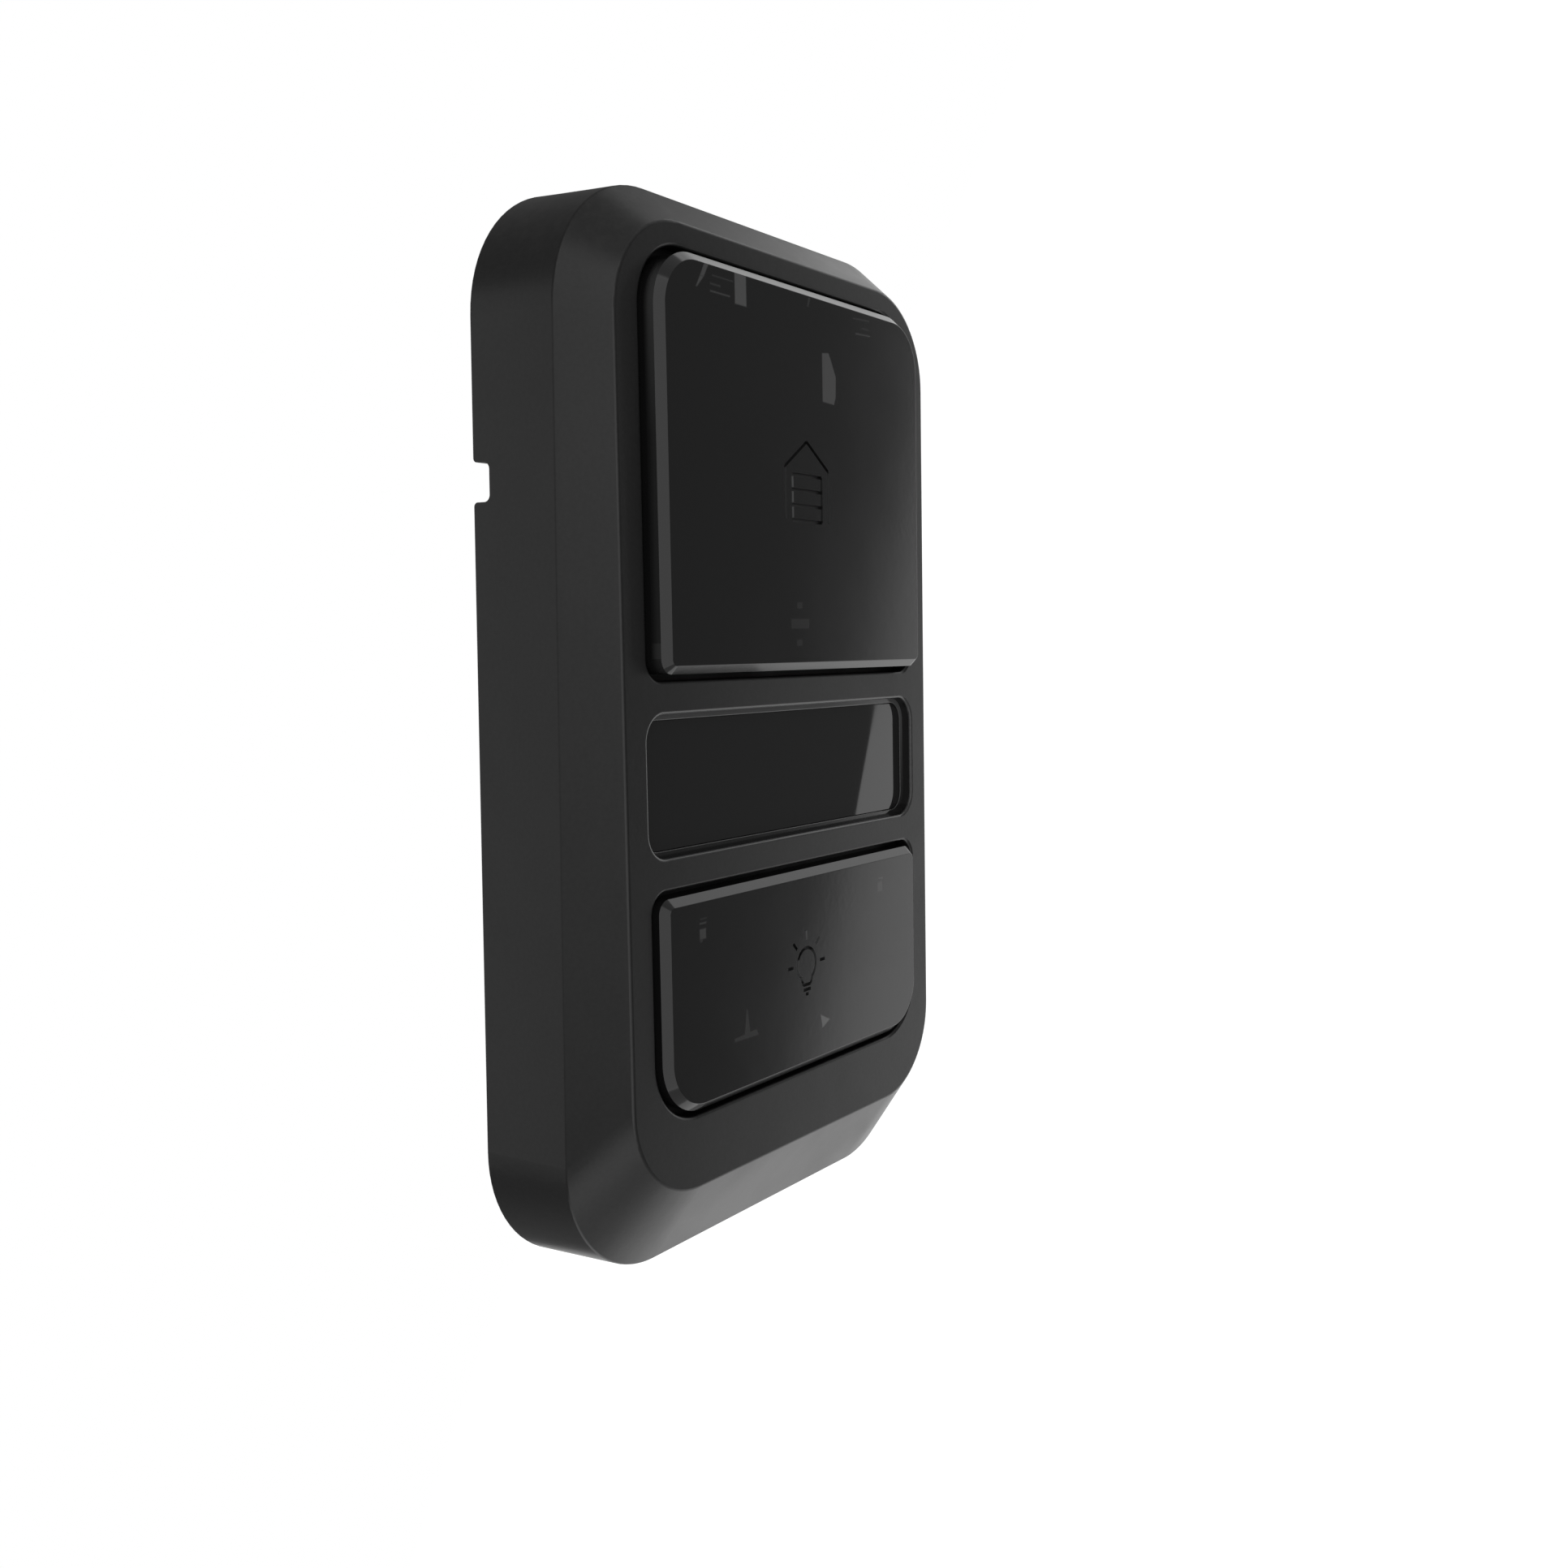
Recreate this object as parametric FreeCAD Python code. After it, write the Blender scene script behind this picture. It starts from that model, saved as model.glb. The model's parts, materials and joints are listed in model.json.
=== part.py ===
import FreeCAD, Part
import math
import os

# Wall control for a garage door: a drafted shell with a wide bevel and a
# leaning face, a large door button, a display window and a lamp button.
# Millimetres. The wall is the plane y = 0, the face looks along -Y, +Z is up
# and the origin is midway between the two wall screws.

# Outer shell
height = 127.0
width = 76.2
side_depth = 11.6
face_depth_top = 16.8
face_depth_bottom = 18.9
side_draft = 0.48
bevel_side = 3.8
bevel_top = 4.5
bevel_bottom = 10.3
corner_radius = 16.0
face_corner_radius = 11.8
wall = 2.0
face_edge_round = 0.5
crease_round = 0.4

# Openings in the face, from the top down; the door opening takes what is left
side_margin = 4.12
window_extra_width = 0.2
top_margin = 2.75
door_window_web = 3.75
window_height = 16.45
window_lamp_web = 3.75
lamp_opening_height = 27.25
bottom_margin = 8.6
sharp_corner_radius = 2.6
window_corner_radius = 3.2
opening_edge_round = 0.4
smallest_radius = 0.4
inner_crease_share = 0.35

# Notch for a wire that runs on the wall
notch_top = 31.5
notch_width = 4.4
notch_depth = 2.3
notch_round = 0.8
notch_mouth_round = 0.5

# Button caps
cap_gap = 0.8
cap_chamfer = 0.95
cap_edge_round = 0.12
cap_face_thickness = 2.0
cap_skirt = 1.3
door_cap_proud = 2.35
lamp_cap_proud = 1.18
button_travel = 0.8

# Signs engraved in the caps: a house with a slatted door, and a light bulb
engraving_depth = 0.4
engraving_width = 0.42
house_half_span = 4.9
house_ridge_rise = 4.7
house_eave_rise = 1.4
house_lintel_rise = 0.5
house_floor_drop = 5.1
house_door_half_width = 3.3
slat_lines = 4
bulb_rise = 0.75
bulb_radius = 2.1
bulb_shoulder_angle = 52.0
bulb_neck_half_width = 0.85
bulb_neck_length = 0.55
bulb_thread_pitch = 0.65
bulb_tip_half_width = 0.3
bulb_tip_drop = 1.25
ray_start = 3.1
ray_end = 4.3

# Button bases
base_inset = 3.25
flange_overlap = 0.9
flange_gap = 0.15
base_fit = 0.1
base_wall = 1.2
light_gap = 1.0
base_roof_thickness = 1.2
base_clearance = 1.8
post_radius = 1.5
post_inset = 7.4
post_tip_gap = 0.2
pusher_radius = 2.0
running_clearance = 0.05

# Return springs
spring_wire = 0.36
spring_clearance = 0.3
spring_turns = 3
spring_seat_gap = 0.05

# Wall plate
plate_gap = 1.05
plate_thickness = 1.8
plate_clearance = 0.3
screw_spacing = 83.3
screw_hole_radius = 2.25
screw_land = 1.6
screw_head_radius = 4.6
pad_wall = 1.7
foot_radius = 2.6
foot_inset = 11.0
wire_window_width = 30.0
wire_window_bottom = -16.0
wire_window_top = 12.0
wire_window_corner = 2.0
latch_height = 22.0
latch_length = 8.0
latch_thickness = 1.3
catch_reach = 1.0
catch_thickness = 1.0
barb_reach = 0.9
barb_thickness = 1.0
latch_gap = 0.3

# Circuit board
board_thickness = 1.6
board_half_width = 29.0
board_edge_inset = 5.0
board_corner = 4.0
board_screw_inset = 4.0
board_hole_clearance = 0.1

# Chassis between the board and the buttons
chassis_gap = 1.4
chassis_thickness = 1.4
chassis_clearance = 0.8
bush_length = 0.8
bush_wall = 1.0
boss_radius = 2.2
boss_gap = 0.4
boss_top_inset = 19.0
boss_bottom_inset = 25.0
brace_thickness = 1.6
standoff_radius = 2.3
lower_bay_half_width = 20.0
lower_bay_gap = 1.0
lower_bay_depth = 9.5

# Screws
small_screw_radius = 1.0
small_head_radius = 1.9
small_head_height = 1.1
small_head_round = 0.5
small_screw_length = 4.2
thread_clearance = 0.05
recess_radius = 1.0
recess_depth = 0.6

# Tactile switches and indicator lamps
switch_size = 6.0
switch_height = 3.5
switch_corner = 0.5
plunger_radius = 1.75
plunger_length = 2.4
plunger_proud = 1.1
plunger_floor_gap = 0.2
contact_gap = 0.05
door_switch_drop = 12.5
lamp_switch_drop = 6.2
led_width = 3.0
led_base_depth = 2.4
led_base_height = 0.7
led_height = 1.4
led_dome_radius = 1.08
led_dome_round = 0.42
led_spread = 7.0
aperture_margin = 0.6
guide_thickness = 0.8
guide_margin = 2.2
guide_corner = 1.0

# Display
window_ledge_depth = 1.45
window_ledge = 0.7
ledge_edge_round = 0.12
gasket_thickness = 0.15
lens_sink = 0.15
lens_overlap = 0.8
lens_fit = 0.1
frame_gap = 0.05
frame_back_depth = 4.0
frame_border = 1.3
lens_thickness = 1.0
panel_thickness = 1.6
panel_side_inset = 1.3
panel_gap = 0.05
backlight_thickness = 1.2
backlight_clearance = 0.3
backlight_strip_room = 3.4
strip_inset = 0.5
strip_width = 1.8
strip_half_length = 20.0
rib_thickness = 1.2
shelf_end_width = 4.0

# Parts on the board
terminal_pitch = 5.08
terminal_depth = 7.6
terminal_recess = 1.4
terminal_bottom = 0.6
terminal_wall = 1.0
terminal_end_wall = 0.3
terminal_slot_width = 3.0
terminal_slot_height = 2.2
clamp_thickness = 0.5
clamp_fit = 0.1
clamp_inset = 0.4
terminal_screw_radius = 1.55
terminal_shank_radius = 0.9
terminal_head_height = 1.2
terminal_head_recess = 0.3
driver_slot_depth = 0.5
driver_slot_width = 0.5
chip_x = -15.0
chip_drop = 20.8
chip_size = 7.0
chip_height = 1.0
chip_edge = 0.15
leg_count = 7
leg_width = 0.3
leg_height = 0.3
leg_reach = 0.8
leg_overlap = 0.3
radio_x = 8.0
radio_width = 13.0
radio_depth = 8.0
radio_height = 2.2
radio_board = 0.8
radio_antenna_room = 3.0
radio_can_inset = 0.6
capacitor_x = -13.5
capacitor_radius = 3.0
capacitor_height = 5.4
capacitor_round = 0.4
capacitor_foot_height = 0.6
capacitor_foot_margin = 0.2
regulator_x = -4.5
regulator_width = 6.5
regulator_depth = 5.5
regulator_height = 1.6
component_drops = (20.8, 27.8, 58.0)
component_start = 11.0
component_pitch = 3.0
component_count = 5
component_width = 1.0
component_length = 2.0
component_height = 0.6

# Cutters reach this far past the faces that they open
PAST = 1.0
REACH = 200.0
OUT_DIR = "parts"


def vec(x, y, z):
    return FreeCAD.Vector(x, y, z)


# Places worked out from the sizes above

half_height = height / 2
face_lean = math.degrees(math.atan((face_depth_bottom - face_depth_top) / height))
face_depth_middle = (face_depth_top + face_depth_bottom) / 2
face_frame = FreeCAD.Placement(
    vec(0, -face_depth_middle, 0), FreeCAD.Rotation(vec(1, 0, 0), -face_lean)
)

crease_half_width = width / 2 - side_draft
crease_half_height = half_height - side_draft
face_half_width = crease_half_width - bevel_side
face_top = crease_half_height - bevel_top
face_bottom = -crease_half_height + bevel_bottom

opening_half_width = face_half_width - side_margin
round_corner_radius = face_corner_radius - side_margin
door_top = face_top - top_margin
lamp_bottom = face_bottom + bottom_margin
lamp_top = lamp_bottom + lamp_opening_height
window_bottom = lamp_top + window_lamp_web
window_top = window_bottom + window_height
door_bottom = window_top + door_window_web
door_middle = (door_top + door_bottom) / 2
window_middle = (window_top + window_bottom) / 2
lamp_middle = (lamp_top + lamp_bottom) / 2


def face_depth(z):
    """Distance from the wall to the leaning face at a height."""
    return face_depth_middle - (face_depth_bottom - face_depth_top) * z / height


# Planes from the face inwards to the board and the wall plate
lens_front_depth = wall + gasket_thickness
lens_back_depth = lens_front_depth + lens_thickness
panel_back_depth = lens_back_depth + panel_gap + panel_thickness
backlight_back_depth = panel_back_depth + backlight_thickness
base_back = base_inset - min(face_depth_top, face_depth_bottom)
chassis_front = max(
    base_back + base_clearance + button_travel,
    backlight_back_depth + backlight_clearance - face_depth(window_top),
)
chassis_back = chassis_front + chassis_thickness
board_front = chassis_back + chassis_gap
board_back = board_front + board_thickness
plate_front = board_back + small_head_height + plate_gap
plate_back = plate_front + plate_thickness


def outline(half_width, top, bottom, top_radius, bottom_radius, y=0.0):
    """Closed wire in a plane parallel to XZ: four lines joined by four arcs."""
    corners = [
        (half_width, top, top_radius, 0),
        (-half_width, top, top_radius, 90),
        (-half_width, bottom, bottom_radius, 180),
        (half_width, bottom, bottom_radius, 270),
    ]
    arcs = []
    for x, z, radius, start in corners:
        centre_x = x - math.copysign(radius, x)
        centre_z = z - radius if z == top else z + radius
        points = []
        for turn in (0, 45, 90):
            angle = math.radians(start + turn)
            points.append(
                vec(centre_x + radius * math.cos(angle), y, centre_z + radius * math.sin(angle))
            )
        arcs.append(points)
    edges = []
    for index, points in enumerate(arcs):
        before = arcs[index - 1][2]
        edges.append(Part.LineSegment(before, points[0]).toShape())
        edges.append(Part.Arc(*points).toShape())
    return Part.Wire(edges)


def extrude(wire, depth):
    """Solid from a wire in a plane parallel to XZ, pushed along Y by depth."""
    return Part.Face(wire).extrude(vec(0, depth, 0))


def slab(half_width, top, bottom, top_radius, bottom_radius, back, front):
    """Rounded plate between two planes y = back and y = front."""
    wire = outline(half_width, top, bottom, top_radius, bottom_radius, back)
    return extrude(wire, front - back)


def box(left, right, back, front, bottom, top):
    """Box between three pairs of planes."""
    low_y = min(back, front)
    return Part.makeBox(
        right - left, abs(front - back), top - bottom, vec(left, low_y, bottom)
    )


def rod(radius, x, z, back, front):
    """Cylinder along Y between two planes."""
    length = front - back
    way = vec(0, math.copysign(1, length), 0)
    return Part.makeCylinder(radius, abs(length), vec(x, back, z), way)


def behind_face(proud):
    """Everything on the wall side of the leaning face moved out by proud."""
    block = Part.makeBox(2 * REACH, REACH, 2 * REACH, vec(-REACH, -proud, -REACH))
    block.Placement = face_frame
    return block


def face_slab(half_width, top, bottom, top_radius, bottom_radius, back_depth, front_depth):
    """Rounded plate parallel to the leaning face, given by depths below it."""
    solid = slab(half_width, top, bottom, top_radius, bottom_radius, back_depth, front_depth)
    solid.Placement = face_frame
    return solid


def fuse(solids):
    """One solid from several that meet or cross."""
    whole = solids[0].fuse(solids[1:])
    return whole.removeSplitter()


def face_distance(point):
    """Height of a point above the leaning face, measured square to it."""
    local = face_frame.inverse().multVec(point)
    return -local.y


def face_height(point):
    """Place of a point along the leaning face, upwards from its middle."""
    return face_frame.inverse().multVec(point).z


def edges_where(shape, test):
    """Edges whose ends and middle all pass the test."""
    found = []
    for edge in shape.Edges:
        middle = edge.valueAt((edge.FirstParameter + edge.LastParameter) / 2)
        points = [vertex.Point for vertex in edge.Vertexes] + [middle]
        if all(test(point) for point in points):
            found.append(edge)
    return found


def on_face(point, proud=0.0):
    return abs(face_distance(point) - proud) < 1e-4


def save(name, shape):
    """Write one named piece, or a group of like pieces, as STEP."""
    solids = shape.Solids
    result = solids[0] if len(solids) == 1 else Part.makeCompound(solids)
    result.exportStep(os.path.join(OUT_DIR, name + ".step"))
    volume = sum(solid.Volume for solid in solids)
    print(f"{name}: {len(solids)} solid(s), {volume:.1f} mm3, valid {result.isValid()}")


# Front housing

def shell_wires(inset, face_inset, crease_y, face_proud, rear_y):
    """Rear, crease and face outlines of the shell, drawn in by an inset."""
    rear = outline(
        width / 2 - inset, half_height - inset, -half_height + inset,
        corner_radius - inset, corner_radius - inset, rear_y,
    )
    crease = outline(
        crease_half_width - inset, crease_half_height - inset, -crease_half_height + inset,
        corner_radius - side_draft - inset, corner_radius - side_draft - inset, crease_y,
    )
    face = outline(
        face_half_width - face_inset, face_top - face_inset, face_bottom + face_inset,
        face_corner_radius - face_inset, face_corner_radius - face_inset, -face_proud,
    )
    face.Placement = face_frame
    return [rear, crease, face]


def outer_form():
    """The shell's outside, with its face and crease edges rounded."""
    solid = Part.makeLoft(shell_wires(0, 0, -side_depth, 0, 0), True, True)
    face_edges = edges_where(solid, on_face)
    crease_edges = edges_where(solid, lambda point: abs(point.y + side_depth) < 1e-4)
    solid = solid.makeFillet(face_edge_round, face_edges)
    crease_edges = edges_where(solid, lambda point: abs(point.y + side_depth) < 1e-4)
    return solid.makeFillet(crease_round, crease_edges)


def inner_form(depth):
    """The form that lies a depth below the shell's outside."""
    crease_y = -side_depth + depth * inner_crease_share
    return Part.makeLoft(shell_wires(depth, depth / 2, crease_y, -depth, 0), True, True)


openings = {
    "door": (opening_half_width, door_top, door_bottom, round_corner_radius, sharp_corner_radius),
    "window": (
        opening_half_width + window_extra_width, window_top, window_bottom,
        window_corner_radius, window_corner_radius,
    ),
    "lamp": (opening_half_width, lamp_top, lamp_bottom, sharp_corner_radius, round_corner_radius),
}
window_place = openings["window"]


def grown(place, amount):
    """An opening's outline made larger by an amount all round, or smaller."""
    half_width, top, bottom, top_radius, bottom_radius = place
    return (
        half_width + amount, top + amount, bottom - amount,
        max(top_radius + amount, smallest_radius), max(bottom_radius + amount, smallest_radius),
    )


aperture_place = grown(window_place, -window_ledge)
boss_x = opening_half_width + flange_overlap + boss_gap + boss_radius
boss_places = [
    (side * boss_x, z)
    for z in (half_height - boss_top_inset, -half_height + boss_bottom_inset)
    for side in (-1, 1)
]
latch_places = [(side, z) for side in (-1, 1) for z in (-latch_height, latch_height)]
inner_half_width = width / 2 - wall - side_draft / 2
catch_back = plate_front - barb_thickness - latch_gap
catch_front = catch_back - catch_thickness


def wire_notch():
    """Cutter for the notch in the left rear edge, its inner corners rounded."""
    block = box(
        -width, -opening_half_width, notch_depth, -notch_depth, notch_top - notch_width, notch_top
    )
    floor_edges = edges_where(block, lambda point: abs(point.y + notch_depth) < 1e-4)
    long_edges = [edge for edge in floor_edges if abs(edge.tangentAt(edge.FirstParameter).x) > 0.9]
    return block.makeFillet(notch_round, long_edges)


def front_housing():
    """Shell with its openings, chassis bosses and latch catches."""
    solid = outer_form().cut(inner_form(wall))
    inner = []
    for x, z in boss_places:
        inner.append(rod(boss_radius, x, z, chassis_front, -face_depth_bottom))
        left, right = sorted((x, math.copysign(width / 2, x)))
        half = brace_thickness / 2
        inner.append(box(left, right, chassis_front, -face_depth_bottom, z - half, z + half))
    for side, z in latch_places:
        left, right = sorted((side * (inner_half_width - catch_reach), side * width / 2))
        half = latch_length / 2 + latch_gap
        inner.append(box(left, right, catch_back, catch_front, z - half, z + half))
    inside_wall = inner_form(wall / 2)
    solid = fuse([solid] + [piece.common(inside_wall) for piece in inner])
    for x, z in boss_places:
        hole_end = chassis_front - small_screw_length
        bore = small_screw_radius + thread_clearance
        solid = solid.cut(rod(bore, x, z, chassis_front, hole_end))
    for name in ("door", "lamp"):
        solid = solid.cut(slab(*openings[name], 0, -REACH))
    solid = solid.cut(face_slab(*window_place, window_ledge_depth, -REACH))
    solid = solid.cut(face_slab(*aperture_place, REACH, -REACH))
    solid = solid.cut(wire_notch())
    for z in (notch_top, notch_top - notch_width):
        mouth = edges_where(solid, lambda point: abs(point.y) < 1e-4 and abs(point.z - z) < 1e-4)
        solid = solid.makeFillet(notch_mouth_round, mouth)
    rims = []
    for place in openings.values():
        half_width, top, bottom = place[:3]
        rims += edges_where(
            solid,
            lambda point: on_face(point)
            and abs(point.x) < half_width + 0.01
            and bottom - 0.01 < point.z < top + 0.01,
        )
    solid = solid.makeFillet(opening_edge_round, rims)
    ledge = edges_where(
        solid,
        lambda point: on_face(point, -window_ledge_depth)
        and abs(point.x) < aperture_place[0] + 0.01
        and aperture_place[2] - 0.01 < face_height(point) < aperture_place[1] + 0.01,
    )
    return solid.makeFillet(ledge_edge_round, ledge)


# Button caps

def house_strokes():
    """Outline of a house with a slatted door, as strokes (x1, z1, x2, z2)."""
    eave_z = door_middle + house_eave_rise
    lintel_z = door_middle + house_lintel_rise
    floor_z = door_middle - house_floor_drop
    strokes = []
    for side in (-1, 1):
        wall_x = side * house_half_span
        door_x = side * house_door_half_width
        strokes.append((wall_x, eave_z, 0, door_middle + house_ridge_rise))
        strokes.append((wall_x, eave_z, wall_x, floor_z))
        strokes.append((door_x, lintel_z, door_x, floor_z))
    for row in range(slat_lines):
        z = lintel_z + (floor_z - lintel_z) * row / (slat_lines - 1)
        strokes.append((-house_door_half_width, z, house_door_half_width, z))
    return strokes


bulb_middle = lamp_middle + bulb_rise
shoulder_x = bulb_radius * math.cos(math.radians(bulb_shoulder_angle))
shoulder_z = bulb_middle - bulb_radius * math.sin(math.radians(bulb_shoulder_angle))


def bulb_strokes():
    """Neck, base and rays of a light bulb, as strokes."""
    neck_z = bulb_middle - bulb_radius - bulb_neck_length
    tip_z = neck_z - bulb_tip_drop
    strokes = []
    for side in (-1, 1):
        strokes.append((side * shoulder_x, shoulder_z, side * bulb_neck_half_width, neck_z))
    for z in (neck_z, neck_z - bulb_thread_pitch):
        strokes.append((-bulb_neck_half_width, z, bulb_neck_half_width, z))
    strokes.append((-bulb_tip_half_width, tip_z, bulb_tip_half_width, tip_z))
    for turn in (0, 45, 90, 135, 180):
        way_x = math.cos(math.radians(turn))
        way_z = math.sin(math.radians(turn))
        start = (ray_start * way_x, bulb_middle + ray_start * way_z)
        end = (ray_end * way_x, bulb_middle + ray_end * way_z)
        strokes.append(start + end)
    return strokes


def groove(stroke):
    """Straight bar along Y whose section is one stroke of a pictogram."""
    x1, z1, x2, z2 = stroke
    length = math.hypot(x2 - x1, z2 - z1)
    across_x = -(z2 - z1) / length * engraving_width / 2
    across_z = (x2 - x1) / length * engraving_width / 2
    corners = [
        vec(x1 + across_x, 0, z1 + across_z),
        vec(x2 + across_x, 0, z2 + across_z),
        vec(x2 - across_x, 0, z2 - across_z),
        vec(x1 - across_x, 0, z1 - across_z),
    ]
    return extrude(Part.makePolygon(corners + corners[:1]), -REACH)


def bulb_ring():
    """Round part of the bulb, open at the neck."""
    half = engraving_width / 2
    ring = rod(bulb_radius + half, 0, bulb_middle, 0, -REACH)
    ring = ring.cut(rod(bulb_radius - half, 0, bulb_middle, 0, -REACH))
    below = bulb_middle - 2 * bulb_radius
    return ring.cut(box(-shoulder_x, shoulder_x, 0, -REACH, below, shoulder_z))


def button_cap(place, proud, pictogram):
    """Moulded cap: chamfered front, skirt down to the flange, engraved sign."""
    cap_outline = grown(place, -cap_gap)
    body = slab(*cap_outline, 0, -REACH).common(behind_face(proud))
    body = body.makeChamfer(cap_chamfer, edges_where(body, lambda point: on_face(point, proud)))
    hollow = slab(*grown(cap_outline, -cap_skirt), 0, -REACH)
    hollow = hollow.common(behind_face(proud - cap_face_thickness))
    body = body.cut(hollow).cut(behind_face(-wall - flange_gap))
    edges = edges_where(body, lambda point: on_face(point, proud))
    body = body.makeFillet(cap_edge_round, edges)
    signs = pictogram[0].fuse(pictogram[1:])
    return body.cut(signs.cut(behind_face(proud - engraving_depth)))


# Button bases

def post_places(place):
    """Four guide posts set in from the corners of a cap."""
    half_width, top, bottom = grown(place, -cap_gap)[:3]
    return [
        (side * (half_width - post_inset), z)
        for z in (bottom + post_inset, top - post_inset)
        for side in (-1, 1)
    ]


door_posts = post_places(openings["door"])
lamp_posts = post_places(openings["lamp"])
door_switch_z = door_middle - door_switch_drop
lamp_switch_z = lamp_middle - lamp_switch_drop
plunger_tip = board_front - switch_height - plunger_proud
post_end = board_front - button_travel - post_tip_gap


def roof_plane(place, proud):
    """Rear of a base's roof, set back from the shallowest part of its front."""
    shallow = min(face_depth(place[1]), face_depth(place[2]))
    return -(shallow + proud - cap_face_thickness - light_gap - base_roof_thickness)


door_roof = roof_plane(openings["door"], door_cap_proud)
lamp_roof = roof_plane(openings["lamp"], lamp_cap_proud)


def button_base(place, proud, roof, posts, switch_z, light_z):
    """Carrier under a cap: flange, tray, guide posts and switch pusher."""
    flange = slab(*grown(place, flange_overlap), base_back, -REACH)
    flange = flange.common(behind_face(-wall - flange_gap))
    tray_place = grown(place, -cap_gap - cap_skirt - base_fit)
    tray_front = proud - cap_face_thickness - light_gap
    tray = slab(*tray_place, base_back, -REACH).common(behind_face(tray_front))
    hollow = slab(*grown(tray_place, -base_wall), base_back + PAST, roof)
    solid = fuse([flange, tray]).cut(hollow)
    parts = [solid, rod(pusher_radius, 0, switch_z, roof, plunger_tip - contact_gap)]
    for x, z in posts:
        parts.append(rod(post_radius, x, z, roof, post_end))
    solid = fuse(parts)
    half = led_width / 2 + aperture_margin
    for x in (-led_spread, led_spread):
        hole = box(x - half, x + half, base_back, -REACH, light_z - half, light_z + half)
        solid = solid.cut(hole)
    return solid


def light_guide(proud, light_z):
    """Clear plate that spreads the indicator lamps behind a pictogram."""
    half_width = led_spread + led_width / 2 + guide_margin
    half_rise = led_width / 2 + guide_margin
    tray_front = proud - cap_face_thickness - light_gap
    plate = slab(
        half_width, light_z + half_rise, light_z - half_rise, guide_corner, guide_corner, 0, -REACH
    )
    return plate.common(behind_face(tray_front + guide_thickness)).cut(behind_face(tray_front))


def arc_to(start, corner, end):
    """Arc between two points whose end tangents meet at a corner."""
    middle = (start + end) * 0.5
    half_turn = (corner - start).getAngle(end - start)
    crown = middle + (corner - middle) * (math.tan(half_turn / 2) / math.tan(half_turn))
    return Part.Arc(start, crown, end).toShape()


def coil_path(radius, rise, turns, centre):
    """Wire of arcs, each tangent to the next, that climbs along -Y as a helix."""
    steps_per_turn = 4
    slope = math.atan(rise / turns / (2 * math.pi * radius))

    def point_and_tangent(step):
        angle = 2 * math.pi * step / steps_per_turn
        around = vec(math.cos(angle), 0, math.sin(angle))
        point = centre + around * radius + vec(0, -rise * step / steps_per_turn / turns, 0)
        tangent = vec(
            -math.sin(angle) * math.cos(slope), -math.sin(slope), math.cos(angle) * math.cos(slope)
        )
        return point, tangent

    edges = []
    for step in range(round(turns * steps_per_turn)):
        start, start_tangent = point_and_tangent(step)
        end, end_tangent = point_and_tangent(step + 1)
        chord = end - start
        total = start_tangent + end_tangent
        spare = 4 - total.dot(total)
        lean = chord.dot(total)
        reach = (math.sqrt(lean * lean + spare * chord.dot(chord)) - lean) / spare
        first_corner = start + start_tangent * reach
        second_corner = end - end_tangent * reach
        joint = (first_corner + second_corner) * 0.5
        edges.append(arc_to(start, first_corner, joint))
        edges.append(arc_to(joint, second_corner, end))
    return Part.Wire(edges)


def spring(x, z, roof):
    """Coil spring along Y between the chassis and the roof of a base."""
    mean_radius = post_radius + spring_clearance + spring_wire / 2
    end_room = spring_wire / 2 + spring_seat_gap
    rise = chassis_front - roof - 2 * end_room
    path = coil_path(mean_radius, rise, spring_turns, vec(x, chassis_front - end_room, z))
    first = path.Edges[0]
    tangent = first.tangentAt(first.FirstParameter)
    start = first.valueAt(first.FirstParameter)
    section = Part.Wire([Part.makeCircle(spring_wire / 2, start, tangent)])
    return path.makePipeShell([section], True, False)


# Display

frame_outer = grown(window_place, frame_border)
lens_place = grown(aperture_place, lens_overlap)
panel_place = grown(lens_place, -panel_side_inset)


def display_frame():
    """Ring behind the window that holds the lens and rests on the chassis ribs."""
    ring = face_slab(*frame_outer, frame_back_depth, wall + frame_gap)
    return ring.cut(face_slab(*grown(lens_place, lens_fit), frame_back_depth + PAST, 0))


def display_gasket():
    """Thin ring between the shell and the lens."""
    ring = face_slab(*lens_place, lens_front_depth, wall)
    return ring.cut(face_slab(*grown(aperture_place, lens_fit), lens_front_depth + PAST, 0))


def display_lens():
    """Window whose raised middle fills the opening in the ledge."""
    flange = face_slab(*lens_place, lens_back_depth, lens_front_depth)
    middle_front = window_ledge_depth + lens_sink
    middle = face_slab(*grown(aperture_place, -lens_fit), lens_back_depth, middle_front)
    return fuse([flange, middle])


def display_panel():
    return face_slab(*panel_place, panel_back_depth, lens_back_depth + panel_gap)


def backlight_place():
    half_width, top, bottom, top_radius, bottom_radius = panel_place
    return (half_width, top, bottom + backlight_strip_room, top_radius, bottom_radius)


def display_backlight():
    return face_slab(*backlight_place(), backlight_back_depth, panel_back_depth)


def strip_limits():
    bottom = panel_place[2] + strip_inset
    return bottom, bottom + strip_width


def display_contact_strip():
    bottom, top = strip_limits()
    bar = box(-strip_half_length, strip_half_length, board_front, -REACH, bottom, top)
    return bar.common(behind_face(-panel_back_depth))


# Chassis and board

chassis_half_width = crease_half_width - wall - chassis_clearance
chassis_half_height = crease_half_height - wall - chassis_clearance
chassis_corner = corner_radius - side_draft - wall - chassis_clearance
board_half_height = chassis_half_height - board_edge_inset
board_screw_places = [
    (side * (board_half_width - board_screw_inset), end * (board_half_height - board_screw_inset))
    for end in (-1, 1)
    for side in (-1, 1)
]
led_places = {
    "door": [(-led_spread, door_middle), (led_spread, door_middle)],
    "lamp": [(-led_spread, lamp_middle), (led_spread, lamp_middle)],
}


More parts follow.
